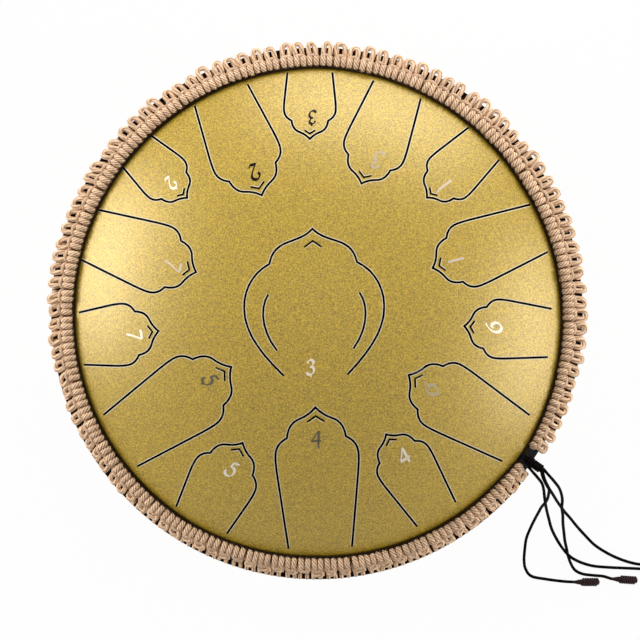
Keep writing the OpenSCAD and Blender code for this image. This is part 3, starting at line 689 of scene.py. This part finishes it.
def lay_group():
    """Twisted cord. Its ply is √|sin(pi × plies × (way round + length run / lay))|, high in the middle
    of a ply and 0 in the hollow, with fine fibres added to its height."""
    tree, start, end = new_group(
        "Twisted lay",
        [("Plies", "NodeSocketFloat", None), ("Lay", "NodeSocketFloat", None),
         ("Fibre", "NodeSocketFloat", None)],
        [("Height", "NodeSocketFloat"), ("Ply", "NodeSocketFloat")])
    uv = node(tree, "UVMap", uv_map="lay")
    parts = node(tree, "SeparateXYZ", uv.outputs[0])
    turn = maths(tree, "DIVIDE", parts.outputs[1], start.outputs["Lay"])
    phase = maths(tree, "MULTIPLY", start.outputs["Plies"], maths(tree, "ADD", parts.outputs[0], turn))
    ply = maths(tree, "ABSOLUTE", maths(tree, "SINE", maths(tree, "MULTIPLY", phase, math.pi)))
    round_ply = maths(tree, "SQRT", ply)
    fibre = noise(tree, object_place(tree), FIBRE_SCALE, *ROUGH_NOISE)
    height = maths(tree, "ADD", round_ply, maths(tree, "MULTIPLY", fibre, start.outputs["Fibre"]))
    put(tree, height, end.inputs["Height"])
    put(tree, round_ply, end.inputs["Ply"])


def grain_group():
    """Fine crinkle of sprayed enamel: two noises of unlike scale, and the slow change of its tone."""
    tree, start, end = new_group(
        "Sprayed grain",
        [("Scale", "NodeSocketFloat", None)],
        [("Height", "NodeSocketFloat"), ("Tone", "NodeSocketFloat")])
    place = object_place(tree)
    scale = start.outputs["Scale"]
    coarse = noise(tree, place, scale, *GRAIN_NOISE)
    fine = noise(tree, place, maths(tree, "MULTIPLY", scale, FINE_SCALE_SHARE), *FINE_NOISE)
    height = maths(tree, "ADD", coarse, maths(tree, "MULTIPLY", fine, FINE_HEIGHT_SHARE))
    put(tree, height, end.inputs["Height"])
    put(tree, between(tree, coarse, *NOISE_RANGE), end.inputs["Tone"])


def facets_group():
    """Round normal where a flat face lies nearly square to it, and the face's own elsewhere: at
    walls and cut edges the face's normal turns away from the round one by more than the limit."""
    tree, start, end = new_group(
        "Rounded facets",
        [("Round", "NodeSocketVector", None), ("Limit", "NodeSocketFloat", ROUND_LIMIT)],
        [("Normal", "NodeSocketVector"), ("Outside", "NodeSocketFloat")])
    face = node(tree, "NewGeometry").outputs["True Normal"]
    round_way = vector_maths(tree, "NORMALIZE", start.outputs["Round"])
    turned = vector_maths(tree, "DOT_PRODUCT", face, round_way)
    same = maths(tree, "GREATER_THAN", maths(tree, "ABSOLUTE", turned), start.outputs["Limit"])
    signed = scaled(tree, round_way, maths(tree, "SIGN", turned))
    put(tree, mixed(tree, same, face, signed, "VECTOR"), end.inputs["Normal"])
    put(tree, between(tree, turned, *OUTSIDE_RANGE), end.inputs["Outside"])


def make_groups():
    """The shader groups, built once."""
    if "Twisted lay" not in bpy.data.node_groups:
        lay_group()
        grain_group()
        facets_group()


def new_finish(name, roughness, metallic, specular):
    """Material with its shader; returns both and the material's tree."""
    material = bpy.data.materials.new(name)
    material.use_nodes = True
    tree = material.node_tree
    shader = tree.nodes["Principled BSDF"]
    shader.inputs["Roughness"].default_value = roughness
    shader.inputs["Metallic"].default_value = metallic
    shader.inputs["Specular IOR Level"].default_value = specular
    return material, shader, tree


def shade(colour, share=1.0):
    """A colour darkened or lightened by a share, with its alpha."""
    return tuple(min(1.0, c * share) for c in colour) + (1.0,)


def shades(tree, share, colour, ends):
    """A colour that goes from one shade of itself to another."""
    return mixed(tree, share, shade(colour, ends[0]), shade(colour, ends[1]))


def gold_finish(name, colour, inside, round_way):
    """Sprayed gold outside a shell, and near-black painted shade inside and on cut walls. The function
    round_way makes the shell's smooth outward direction."""
    material, shader, tree = new_finish(name, *GOLD_GLOSS)
    grain = group_node(tree, "Sprayed grain", Scale=GRAIN_SCALE)
    facets = group_node(tree, "Rounded facets", Round=round_way(tree, object_place(tree)))
    outside = facets.outputs["Outside"]
    tone = shades(tree, grain.outputs["Tone"], colour, GOLD_TONE_SHARES)
    # Painted shade: the inside colour where a face turns away from the outside
    put(tree, mixed(tree, outside, shade(inside), tone), shader.inputs["Base Color"])
    put(tree, between(tree, outside, 0.0, 1.0, 1.0, GOLD_METALLIC), shader.inputs["Metallic"])
    normal = bump(tree, grain.outputs["Height"], GRAIN_RELIEF, facets.outputs["Normal"])
    put(tree, normal, shader.inputs["Normal"])
    return material


def dome_way(tree, place):
    """From the middle of the dome's ball."""
    return vector_maths(tree, "SUBTRACT", place, (0, 0, SPHERE_Z))


def bowl_way(tree, place):
    """From the flat's edge outwards and down from the wall: (r − flat's radius, if over 0) along the
    radius and (z − the wall's foot, if under 0) upwards."""
    level = vector_maths(tree, "MULTIPLY", place, (1, 1, 0))
    past_flat = maths(tree, "SUBTRACT", vector_maths(tree, "LENGTH", level), BOWL_FLAT_R)
    out = scaled(tree, vector_maths(tree, "NORMALIZE", level), maths(tree, "MAXIMUM", past_flat, 0.0))
    past_wall = maths(tree, "SUBTRACT", node(tree, "SeparateXYZ", place).outputs[2], BOWL_WALL_Z)
    down = node(tree, "CombineXYZ", None, None, maths(tree, "MINIMUM", past_wall, 0.0))
    return vector_maths(tree, "ADD", out, down.outputs[0])


def cord_finish(name, colour, hollow, lay, plies, roughness, fibre, specular):
    """Twisted cord: painted shade between the plies, mottled along its length, dull."""
    material, shader, tree = new_finish(name, roughness, 0.0, specular)
    twist = group_node(tree, "Twisted lay", Plies=float(plies), Lay=lay, Fibre=fibre)
    mottle = noise(tree, object_place(tree), MOTTLE_SCALE, *ROUGH_NOISE)
    strand = shades(tree, between(tree, mottle, *NOISE_RANGE), colour, CORD_TONE_SHARES)
    # Painted shade: the hollow's colour laid between the plies
    share = between(tree, twist.outputs["Ply"], *PLY_RANGE)
    put(tree, mixed(tree, share, shade(hollow), strand), shader.inputs["Base Color"])
    put(tree, bump(tree, twist.outputs["Height"], CORD_RELIEF), shader.inputs["Normal"])
    return material


def mottled_finish(name, colour, gloss, cloud, ends):
    """Finish that drifts between two shades of its colour; returns it with its shader, tree and
    noise."""
    material, shader, tree = new_finish(name, *gloss)
    drifting = noise(tree, object_place(tree), *cloud)
    put(tree, shades(tree, drifting, colour, ends), shader.inputs["Base Color"])
    return material, shader, tree, drifting


def rubber_finish(name, colour, roughness, scale):
    """Rubber or soft plastic: even black with a faint grain and a slow change of gloss."""
    gloss = (roughness, 0.0, RUBBER_SPECULAR)
    material, shader, tree, _ = mottled_finish(name, colour, gloss, RUBBER_CLOUD, RUBBER_TONE_SHARES)
    place = object_place(tree)
    slow = noise(tree, place, RUBBER_GLOSS_SCALE, *SOFT_NOISE)
    least, most = RUBBER_GLOSS_SHARES
    gloss = between(tree, slow, *NOISE_RANGE, roughness * least, roughness * most)
    put(tree, gloss, shader.inputs["Roughness"])
    grain = noise(tree, place, scale, *SOFT_NOISE)
    put(tree, bump(tree, grain, RUBBER_RELIEF), shader.inputs["Normal"])
    return material


def zinc_finish(colour):
    """Zinc plate: mottled bright metal."""
    material, shader, tree, cloud = mottled_finish("Zinc plate", colour, *ZINC_LOOK)
    put(tree, between(tree, cloud, *NOISE_RANGE, *ZINC_ROUGHNESSES), shader.inputs["Roughness"])
    return material


def finish_node(name, material):
    """Gives a node of the drum its finish."""
    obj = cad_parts[name]
    obj.data.materials.clear()
    obj.data.materials.append(material)


# Tubes and knots

def smooth_tube(points, radius, sides, steps, toward):
    """Tube along the smooth curve through points, held over the floor, and its path."""
    path = smooth(points, steps)
    path[:, 2] = np.maximum(path[:, 2], radius)
    return (ring_tube(path[None], radius, sides, toward), along(path[None])), path


def wraps(start, way, length, cord_r, reach):
    """Helix round a level knot: start + way × run + reach × (cos a × upward + sin a × side), with its
    ends drawn in to the knot's middle, and the tube round it."""
    share = np.linspace(0, 1, TURN_STEPS * KNOT_TURNS + 1)
    a = 2 * math.pi * KNOT_TURNS * share
    side = np.cross(way, UPWARD)
    at_start, start_gain = WRAP_START_SHARES
    at_end, end_gain = WRAP_END_SHARES
    drawn = np.minimum(1, np.minimum(share * KNOT_TURNS * start_gain + at_start,
                                     (1 - share) * KNOT_TURNS * end_gain + at_end))
    run = (cord_r + (length - 2 * cord_r) * share)[:, None]
    spoke = np.cos(a)[:, None] * UPWARD + np.sin(a)[:, None] * side
    path = start + run * way + reach * drawn[:, None] * spoke
    return ring_tube(path[None], cord_r, CORD_SIDES, spoke[None]), along(path[None])


def knot_tubes(start, way, length, cord_r, reach, shares):
    """Wraps and the doubled cord inside them, which shows as a tapered lead and a cut stub. The
    shares give the wrap's radius, the lead and the stub."""
    cord_r, lead, stub = cord_r * np.array(shares)
    helix, run = wraps(start, way, length, cord_r, reach)
    share = np.linspace(0, 1, helix.shape[1])
    core_run = -lead + (length + lead + stub) * share
    core = start + core_run[:, None] * way
    swell = cord_r * (1 + CORE_SWELL_SHARE * np.clip((core_run + lead) / lead, 0, 1)
                      * np.clip((length + stub * STUB_PLACE_SHARE - core_run)
                                / (stub * STUB_STRETCH_SHARE), 0, 1))
    swell[-1] = cord_r * STUB_END_SHARE
    inner = ring_tube(core[None], swell[None], CORD_SIDES, UPWARD)
    return joined([(helix, run), (inner, along(core[None]))])


# Operators

class DRUM_OT_stage(bpy.types.Operator):
    """Floor, sky, lamps and camera"""

    bl_idname = "drum.stage"
    bl_label = "Stage"

    def execute(self, context):
        sizes = context.scene.drum_stage
        self.camera(context, sizes)
        self.floor(sizes)
        self.sky(context, sizes)
        self.lamps(sizes)
        context.scene.view_settings.view_transform = "Standard"
        return {"FINISHED"}

    def camera(self, context, sizes):
        data = bpy.data.cameras.new("camera")
        data.type = "PERSP"
        data.lens = data.sensor_width * (sizes.camera_height - FLANGE_TOP_Z) / sizes.frame_width
        data.clip_start = CLIP_NEAR
        data.clip_end = CLIP_FAR
        camera = new_object("camera", data)
        camera.location = (sizes.camera_x, sizes.camera_y, sizes.camera_height)
        context.scene.camera = camera

    def floor(self, sizes):
        half = sizes.floor_size / 2
        corners = np.array([(-1, -1, 0), (1, -1, 0), (1, 1, 0), (-1, 1, 0)]) * half
        mesh = bpy.data.meshes.new("floor")
        mesh.from_pydata(corners.tolist(), [], [(0, 1, 2, 3)])
        material = bpy.data.materials.new("Pale floor")
        material.use_nodes = True
        tree = material.node_tree
        tree.nodes.clear()
        r = vector_maths(tree, "LENGTH", object_place(tree))
        # Painted shadow: the floor's colour darkened right under the drum
        colour = mixed(tree, between(tree, r, *PAINTED_SHADOW_RADII), shade(sizes.floor_colour, FLOOR_PAINTED_SHADOW_SHARE),
                       shade(sizes.floor_colour))
        share = maths(tree, "MULTIPLY", self.seen(tree), sizes.floor_glow)
        share = maths(tree, "MULTIPLY", share, between(tree, r, *SHADOW_RADII))
        matt = node(tree, "BsdfDiffuse", colour)
        white = node(tree, "Emission", WHITE)
        both = node(tree, "MixShader", share, matt.outputs[0], white.outputs[0])
        node(tree, "OutputMaterial", both.outputs[0])
        mesh.materials.append(material)
        floor = new_object("floor", mesh)

    def seen(self, tree):
        """1 for rays from the camera and those that gloss and glass send on, and 0 for other light."""
        light = node(tree, "LightPath")
        seen = maths(tree, "ADD", light.outputs["Is Camera Ray"], light.outputs["Is Glossy Ray"])
        seen = maths(tree, "ADD", seen, light.outputs["Is Transmission Ray"])
        return maths(tree, "MINIMUM", seen, 1.0)

    def sky(self, context, sizes):
        world = bpy.data.worlds.new("sky")
        world.use_nodes = True
        tree = world.node_tree
        back = tree.nodes["Background"]
        back.inputs["Color"].default_value = WHITE
        strength = between(tree, self.seen(tree), 0.0, 1.0, sizes.world_strength, 1.0)
        put(tree, strength, back.inputs["Strength"])
        context.scene.world = world

    def lamps(self, sizes):
        for name, place, width, depth, power, share in LAMPS:
            data = bpy.data.lights.new(name, "AREA")
            data.shape = "RECTANGLE"
            data.size = width
            data.size_y = depth
            data.energy = getattr(sizes, power) * share
            lamp = new_object(name, data)
            lamp.location = place
            aim = Vector((0, 0, SEAM_Z)) - Vector(place)
            lamp.rotation_euler = aim.to_track_quat("-Z", "Y").to_euler()


class DRUM_OT_tails(bpy.types.Operator):
    """Four tails of dark cord, each with its wrapped end knot"""

    bl_idname = "drum.tails"
    bl_label = "Tails"

    def execute(self, context):
        make_groups()
        sizes = context.scene.drum_cords
        colours = context.scene.drum_colours
        look = (colours.cord_painted_shade, sizes.cord_lay)
        finish = cord_finish("Dark cord", colours.cord, *look, **DARK_LOOK)
        end_knot_finish = cord_finish("End knot cord", colours.end_cord, *look, **SHINIER_CORD_LOOK)
        r = sizes.cord_d / 2
        for i, route in enumerate(TAIL_ROUTES, start=1):
            points = np.array(route) * MM
            tube, path = smooth_tube(points, r, CORD_SIDES, TAIL_STEPS, TAIL_SIDE)
            tail = add_piece("tail_cord_%d" % i, tube, finish, ["tail_%d" % i])
            way = unit((points[-1] - points[-2]) * LEVEL)
            start = points[-1] * LEVEL + END_Z * UPWARD
            tubes = knot_tubes(start, way, END_LENGTH - r, r, sizes.wrap_r - END_WRAPS_IN, END_KNOT_SHARES)
            knot = add_piece("end_wraps_%d" % i, tubes, end_knot_finish, ["end_knot_%d" % i])
        return {"FINISHED"}


class DRUM_OT_strings(bpy.types.Operator):
    """Two drawstrings and the gathering knot that they end in"""

    bl_idname = "drum.strings"
    bl_label = "Drawstrings"

    def execute(self, context):
        make_groups()
        sizes = context.scene.drum_cords
        colours = context.scene.drum_colours
        finish = bpy.data.materials["Dark cord"]
        # Painted reflection: the upper string's cord is tinted by the gold beside it
        string_reflection_finish = cord_finish("Cord with painted gold reflection", colours.string_painted_reflection, colours.cord_painted_shade, sizes.cord_lay,
                            **SHINIER_CORD_LOOK)
        tube, _ = smooth_tube(self.ring(sizes.string_r, sizes.string_z), sizes.string_d / 2,
                              STRAND_SIDES, STRING_STEPS, UPWARD)
        add_piece("upper_string", tube, string_reflection_finish, ["upper_drawstring"])
        r = sizes.cord_d / 2
        tube, _ = smooth_tube(self.lower(sizes.lower_string_r, sizes.lower_string_z), r,
                              STRAND_SIDES, STRING_STEPS, LOWER_SIDE)
        add_piece("lower_string", tube, finish, ["lower_drawstring"])
        start = polar(GATHER_R, KNOT_ANGLE, GATHER_Z)
        tubes = knot_tubes(start, polar(1.0, KNOT_ANGLE, 0.0), GATHER_LENGTH, r,
                           sizes.wrap_r + GATHER_WRAPS_OUT, GATHER_KNOT_SHARES)
        add_piece("gathering_wraps", tubes, finish, ["gathering_knot"])
        return {"FINISHED"}

    def ring(self, r, z):
        """Ring of the upper string. It follows the drift and, over its last stretch to the knot, moves
        outwards by the square of its share of that stretch, under the band's ends; its two ends then
        turn out into the gathering knot."""
        angles = np.linspace(KNOT_ANGLE + RING_NEAR, KNOT_ANGLE + 360 - RING_NEAR, RING_POINTS)
        near = np.minimum(angles - KNOT_ANGLE, KNOT_ANGLE + 360 - angles)
        share = np.clip(1 - (near - RING_NEAR) / RING_STRETCH, 0, 1) ** 2
        out = drift(angles) + RING_OUT * share
        turned = polar(r + out, angles, z + DRIFT_CLIMB_SHARE * out)
        ends = polar(GATHER_R + RING_END_IN, KNOT_ANGLE + np.array([1, -1]) * RING_END_APART, GATHER_Z)
        return np.concatenate([ends[:1], turned, ends[1:]])

    def lower(self, r, z):
        """Ring under the rim; one end meets the second tail, the other rises to the knot."""
        after, before = LOWER_FREE
        turned = polar(r, np.linspace(GAP_ANGLE + after, GAP_ANGLE + 360 - before, LOWER_POINTS), z)
        rise_r, turn, rise_z = np.array(LOWER_RISE).T
        rise = polar(rise_r * MM, KNOT_ANGLE + turn, rise_z * MM)
        return np.concatenate([rise, turned, np.array(TAIL_ROUTES[1][:1]) * MM])


def drift(angle):
    """How far the upper heads and string stand out at an angle, by straight steps between those
    of the table."""
    return np.interp(np.mod(angle, 360), DRIFT_ANGLES, DRIFT_SHARES) * NINTH


class DRUM_OT_band(bpy.types.Operator):
    """Hemp band: heads and bars of both rows, the loops and the strands over the rim"""

    bl_idname = "drum.band"
    bl_label = "Hemp band"

    def execute(self, context):
        make_groups()
        sizes = context.scene.drum_cords
        colours = context.scene.drum_colours
        heads_finish = cord_finish("Hemp heads", colours.hemp, colours.hemp_painted_shade, sizes.head_lay,
                                   **HEAD_LOOK)
        loops_finish = cord_finish("Hemp loops", colours.hemp, colours.loop_painted_shade, sizes.loop_lay,
                                   **LOOP_LOOK)
        both = (1, -1)
        heads = [self.strands(shares, sizes.head_d, STRAND_SIDES, mirror, seed, upper=seed == 0)
                 for seed, shares in enumerate((HEAD_SHARES, LOWER_HEAD_SHARES)) for mirror in both]
        add_piece("band_heads", joined(heads), heads_finish, ["rope_knots"])
        bars = [self.strands(shares, sizes.bar_d, BAR_SIDES, 1, seed)
                for seed, shares in enumerate((BAR_SHARES, LOWER_BAR_SHARES))]
        add_piece("band_bars", joined(bars), heads_finish)
        loops = self.strands(LOOP_SHARES, sizes.loop_d, STRAND_SIDES, 1, LOOP_SEED, loops=True)
        add_piece("band_loops", loops, loops_finish, ["rope_loops"])
        sides = [self.strands(SIDE_SHARES, sizes.side_d, STRAND_SIDES, mirror, SIDE_SEED)
                 for mirror in both]
        add_piece("band_sides", joined(sides), loops_finish, ["rope_band"])
        self.core(sizes)
        return {"FINISHED"}

    def core(self, sizes):
        """Dark cord that the band is knotted round; where it shows through the loops it is painted shade
        for the shade under them.
        """
        angles = np.linspace(BAND_START + PITCH, BAND_START + PITCH * (KNOT_COUNT - 1), CORE_POINTS)
        path = polar(sizes.core_r, angles, SEAM_Z)
        rings = ring_tube(path[None], sizes.core_d / 2, CORD_SIDES, UPWARD)
        finish = bpy.data.materials["Dark cord"]
        add_piece("band_core_painted_shade", (rings, along(path[None])), finish)

    def strands(self, shares, width, sides, mirror, seed, loops=False, upper=False):
        """One strand in every unit of the band: angle = the unit's angle + (across + free reach ×
        lean) / radius, at the strand's radius and height, with a small chance shift of each. Upper
        heads follow the drift."""
        chance = np.random.default_rng(seed)
        across, out, up = (np.array(shares) * NINTH).T
        units = np.arange(KNOT_COUNT)
        angle = BAND_START + PITCH * (units + 0.5)
        lean = (self.lean(angle) + chance.normal(0, LEAN_CHANCE_SHARE, KNOT_COUNT))[:, None]
        shift, rise = chance.normal(0, SHIFT_CHANCE_SHARE, (2, KNOT_COUNT, 1)) * NINTH
        if loops:
            across = across * chance.uniform(*LOOP_WIDTH_SHARES, (KNOT_COUNT, 1))
        free = np.maximum(out - LOOP_START_SHARE * NINTH, 0)
        front = np.maximum(-np.sin(np.radians(angle)), 0)[:, None] ** FRONT_POWER
        longer = LONGER_SHARE * np.cos(np.radians(angle - LONGER_ANGLE))
        reach = chance.normal(longer, REACH_CHANCE_SHARE)[:, None] - FRONT_SHORTER_SHARE * front
        r = BAND_R + out + (free * reach if loops else 0)
        z = SEAM_Z + up + rise + (free * FRONT_RISE_SHARE * front if loops else 0)
        if upper:
            r = r + drift(angle)[:, None]
            z = z + DRIFT_CLIMB_SHARE * drift(angle)[:, None]
        tilt = LOOP_TILT_SHARE * mirror * across * np.sign(lean) if loops else 0
        side = mirror * across + lean * free + shift
        paths = polar(r, angle[:, None] + np.degrees(side / BAND_R), z + tilt)
        run = along(paths) + chance.uniform(0, 1, (KNOT_COUNT, 1)) * UNIT_W
        return ring_tube(paths, width / 2, sides, self.facing(paths)), run

    def facing(self, paths):
        """Upward, a little outward and along the rim: the side that a strand's twist is counted
        from."""
        out_share, on_share = FACING_SHARES
        out = unit(paths * LEVEL)
        return out * out_share + UPWARD + unit(np.cross(out, UPWARD)) * on_share

    def lean(self, angle):
        """Sideways lean of the loops as a share of their reach: turned one way at the drum's right,
        the other at its left, and that way also at its front."""
        a = np.radians(angle)
        even, right, front = LEAN_SHARES
        return even - right * np.cos(a) + front * np.maximum(-np.sin(a), 0)


class DRUM_OT_finishes(bpy.types.Operator):
    """Finishes of the shells, tongues, trim, feet and hardware"""

    bl_idname = "drum.finishes"
    bl_label = "Finishes"

    def execute(self, context):
        make_groups()
        colours = context.scene.drum_colours
        dome = gold_finish("Gold dome", colours.gold, colours.inside, dome_way)
        bowl = gold_finish("Gold bowl", colours.gold, colours.inside, bowl_way)
        trim = rubber_finish("Trim rubber", colours.rubber, *TRIM_RUBBER)
        feet = rubber_finish("Foot rubber", colours.rubber, *FOOT_RUBBER)
        zinc = zinc_finish(colours.zinc)
        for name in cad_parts:
            if name == "top_shell" or name.startswith("tongue_"):
                finish_node(name, dome)
            elif name == "bottom_shell":
                finish_node(name, bowl)
            elif name == "rim_trim":
                finish_node(name, trim)
            elif name in ("foot_screws", "foot_washers", "foot_nuts"):
                finish_node(name, zinc)
            elif name.startswith("foot_"):
                finish_node(name, feet)
        self.lip(trim)
        return {"FINISHED"}

    def lip(self, finish):
        """Lip of the trim over the dome's edge, as far as the gap in the band."""
        angles = np.linspace(GAP_ANGLE - LIP_HALF_SPAN, GAP_ANGLE + LIP_HALF_SPAN, LIP_STEPS)
        r = np.array([LIP_R, DOME_BASE_R, LIP_OUTER_R])
        z = np.array([dome_height(LIP_R, 0.0), FLANGE_TOP_Z, FLANGE_TOP_Z])
        section_r = np.concatenate([r, r[::-1]])
        section_z = np.concatenate([z + LIP_HIGH, z[::-1] + FOIL_LOW])
        rings = polar(section_r, angles[:, None], section_z)[None]
        add_piece("trim_lip", (rings, along(rings[:, :, 0])), finish, flat=True)


def cubic(curve, steps):
    """Points of a cubic curve after its first: (1−t)³, 3t(1−t)², 3t²(1−t) and t³ times its four."""
    c = np.array(curve, dtype=float)
    t = (np.arange(steps) + 1)[:, None] / steps
    return (1 - t) ** 3 * c[0] + 3 * t * (1 - t) ** 2 * c[1] + 3 * t ** 2 * (1 - t) * c[2] + t ** 3 * c[3]


def moved(line, d):
    """A flat line moved to its right by d, its corners mitred: both steps' right-hand directions at
    a corner, added and divided by 1 + their dot product."""
    step = unit(np.diff(line, axis=0))
    right = np.stack([step[:, 1], -step[:, 0]], axis=-1)
    before = np.concatenate([right[:1], right])
    after = np.concatenate([right, right[-1:]])
    return line + d * (before + after) / (1 + np.sum(before * after, axis=-1, keepdims=True))


class DRUM_OT_edges(bpy.types.Operator):
    """Bright edges of the slits: thin strips with a painted highlight along the cut"""

    bl_idname = "drum.edges"
    bl_label = "Slit edges"

    def execute(self, context):
        # Painted highlight along the slits' edges
        finish = mottled_finish("Bright edge", context.scene.drum_colours.painted_edge_highlight, *EDGE_LOOK)[0]
        shell = []
        for tongue, (angle, lean, *shares) in TONGUE_SHARES.items():
            root_r, length, half_w, root_half = np.array(shares) * DOME_BASE_R
            place = (angle, lean, root_r, length)
            outline = self.whole(self.rim_half(half_w, length, root_half))
            outer, inner = self.slit(outline, RIM_CHEVRON_SHARES, half_w, place)
            shell.append(outer)
            self.add(tongue, inner, finish)
        angle, lean, *shares = CENTRE_SHARES
        root_r, length = np.array(shares) * DOME_BASE_R
        half_w = length / CENTRE_LENGTH_SHARE
        place = (angle, lean, root_r, length)
        outline = self.whole(self.curves(CENTRE_CURVE_SHARES) * half_w)
        outer, inner = self.slit(outline, CENTRE_CHEVRON_SHARES, half_w, place)
        arc = self.curves([CENTRE_ARC_SHARES]) * half_w
        for mirror in (1, -1):
            for side in (1, -1):
                inner.append(self.strip(arc * (mirror, 1), side * SLIT_HALF, side * EDGE_W, place))
        self.add("low_3", inner, finish)
        add_piece("edge_shell", joined(shell + [outer]), finish, flat=True)
        return {"FINISHED"}

    def slit(self, outline, chevron, half_w, place):
        """Edges along a tongue's slit: the shell's, then those of the tongue and of its chevron."""
        return self.strip(outline, SLIT_HALF, EDGE_W, place), [
            self.strip(outline, -SLIT_HALF, -EDGE_W, place),
            self.strip(self.chevron(chevron, half_w), -CHEVRON_HALF, -EDGE_W, place)]

    def add(self, tongue, parts, finish):
        add_piece("edge_" + tongue, joined(parts), finish, body="tongue_" + tongue,
                  flat=True)

    def curves(self, curves):
        """Points of joined cubic curves, from the first curve's first point."""
        return np.concatenate([np.array(curves[0][:1], dtype=float)]
                              + [cubic(curve, CURVE_STEPS) for curve in curves])

    def rim_half(self, half_w, length, root_half):
        """Half outline: the tip's curves, the bend round the corner, whose inner points lie two thirds
        of the way to it, and the straight side."""
        corner = np.array([half_w, RIM_BEND_SHARE * half_w])
        root = np.array([root_half, length])
        bend_end = corner + RIM_BEND_END_SHARE * (root - corner)
        widest = np.array(RIM_CURVE_SHARES[-1][-1]) * half_w
        bend = [widest, widest + (corner - widest) * 2 / 3, bend_end + (corner - bend_end) * 2 / 3,
                bend_end]
        return np.concatenate([self.curves(RIM_CURVE_SHARES) * half_w, cubic(bend, CURVE_STEPS),
                               np.linspace(bend_end, root, SIDE_STEPS + 1)[1:]])

    def whole(self, half):
        """Outline from the left end of the root round the tip to the right end."""
        return np.concatenate([half[:0:-1] * (-1, 1), half])

    def chevron(self, shares, half_w):
        across, vertex, ends = shares
        return np.array([(-across, ends), (0, vertex), (across, ends)]) * half_w

    def strip(self, line, start, width, place):
        """Ribbon beside a line, from start to start + width off it, in the tongue's place."""
        near = self.placed(moved(line, start), *place)
        far = self.placed(moved(line, start + width), *place)
        right, left = (near, far) if width > 0 else (far, near)
        return ribbon(right, left, -EDGE_HIGH, EDGE_HIGH)

    def placed(self, flat, angle, lean, root_r, length):
        """Across and along the tongue, turned by its lean, moved to its root and turned to its
        angle."""
        lean = math.radians(lean)
        across, on = flat[:, 0], length - flat[:, 1]
        x = root_r - across * math.sin(lean) - on * math.cos(lean)
        y = across * math.cos(lean) - on * math.sin(lean)
        a = math.radians(angle)
        return np.stack([x * math.cos(a) - y * math.sin(a), x * math.sin(a) + y * math.cos(a)], axis=-1)


class DRUM_OT_numbers(bpy.types.Operator):
    """Foil numbers on the tongues"""

    bl_idname = "drum.numbers"
    bl_label = "Numbers"

    def execute(self, context):
        # Painted reflection: each number's foil gets a tone of its own
        finishes = {tone: mottled_finish("Foil " + tone, colour, *FOIL_LOOK)[0]
                    for tone, colour in FOIL_PAINTED_REFLECTIONS.items()}
        for tongue, number, middle, up_angle, height, dot, tone in NUMBERS:
            parts = [self.stroke(np.array(points), middle, up_angle, height)
                     for points in DIGIT_STROKES_SHARES[number]]
            if dot:
                across = DOT_ACROSS_SHARES.get(number, DIGIT_MIDDLE_SHARES[0])
                parts.append(self.dot(dot, across, middle, up_angle, height))
            add_piece("number_" + tongue, joined(parts), finishes[tone],
                      body="tongue_" + tongue, flat=True)
        return {"FINISHED"}

    def laid(self, flat, middle, up_angle, height):
        """Flat places in shares of the number's height, turned so that up points to the tongue's tip
        and moved to the number's middle."""
        up = np.array([math.cos(math.radians(up_angle)), math.sin(math.radians(up_angle))])
        right = np.array([up[1], -up[0]])
        local = (flat - np.array(DIGIT_MIDDLE_SHARES)) * height * MM
        slanted = DIGIT_WIDTH_SHARE * local[..., 0] + SLANT_SHARE * local[..., 1]
        return np.array(middle) * MM + slanted[..., None] * right + local[..., 1:] * up

    def stroke(self, points, middle, up_angle, height):
        """One pen stroke: half its width is thin + broad × |sin(its direction − the nib's)|, swelling
        to a round end, laid as a thin closed sheet."""
        path = smooth(points, STROKE_STEPS)
        way = unit(np.gradient(path, axis=0))
        side = np.stack([-way[:, 1], way[:, 0]], axis=-1)
        slope = np.arctan2(way[:, 1], way[:, 0])
        half = PEN_THIN_SHARE + PEN_BROAD_SHARE * np.abs(np.sin(slope - math.radians(NIB_ANGLE)))
        step = np.arange(len(path))
        at_end, gain = STROKE_END_SHARES
        half = (half * np.minimum(1, at_end + np.minimum(step, step[::-1]) * gain))[:, None]
        return self.sheet(path, half * side, middle, up_angle, height)

    def dot(self, side, across, middle, up_angle, height):
        """Round dot over or under a number, drawn as a stroke whose half width follows a circle."""
        share = np.linspace(-1, 1, DOT_POINTS)
        y = DIGIT_MIDDLE_SHARES[1] + side * DOT_AWAY_SHARE
        half = (DOT_SHARE * np.maximum(np.sqrt(1 - share ** 2), DOT_TIP_SHARE))[:, None]
        path = np.stack([np.full(DOT_POINTS, across), y + DOT_SHARE * share], axis=-1)
        return self.sheet(path, half * (-1, 0), middle, up_angle, height)

    def sheet(self, path, reach, *place):
        """Foil over a path, reaching as far to both sides of it."""
        return ribbon(self.laid(path - reach, *place), self.laid(path + reach, *place),
                      FOIL_LOW, FOIL_HIGH)


class DRUM_PT_panel(bpy.types.Panel):
    """Lists the drum's pieces"""

    bl_idname = "DRUM_PT_panel"
    bl_label = "Tongue drum"
    bl_space_type = "VIEW_3D"
    bl_region_type = "UI"
    bl_category = "Drum"

    def draw(self, context):
        for operator in OPERATORS:
            self.layout.operator(operator.bl_idname)


OPERATORS = (DRUM_OT_stage, DRUM_OT_tails, DRUM_OT_strings, DRUM_OT_band, DRUM_OT_finishes,
             DRUM_OT_edges, DRUM_OT_numbers)
GROUPS = (DrumStageSizes, DrumCordSizes, DrumColours)


def register():
    for cls in GROUPS + OPERATORS + (DRUM_PT_panel,):
        bpy.utils.register_class(cls)
    bpy.types.Scene.drum_stage = bpy.props.PointerProperty(type=DrumStageSizes)
    bpy.types.Scene.drum_cords = bpy.props.PointerProperty(type=DrumCordSizes)
    bpy.types.Scene.drum_colours = bpy.props.PointerProperty(type=DrumColours)


def unregister():
    del bpy.types.Scene.drum_stage
    del bpy.types.Scene.drum_cords
    del bpy.types.Scene.drum_colours
    for cls in reversed(GROUPS + OPERATORS + (DRUM_PT_panel,)):
        bpy.utils.unregister_class(cls)


def main():
    register()
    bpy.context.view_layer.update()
    for operator in OPERATORS:
        getattr(bpy.ops.drum, operator.bl_idname.split(".")[1])()


if __name__ == "__main__":
    main()
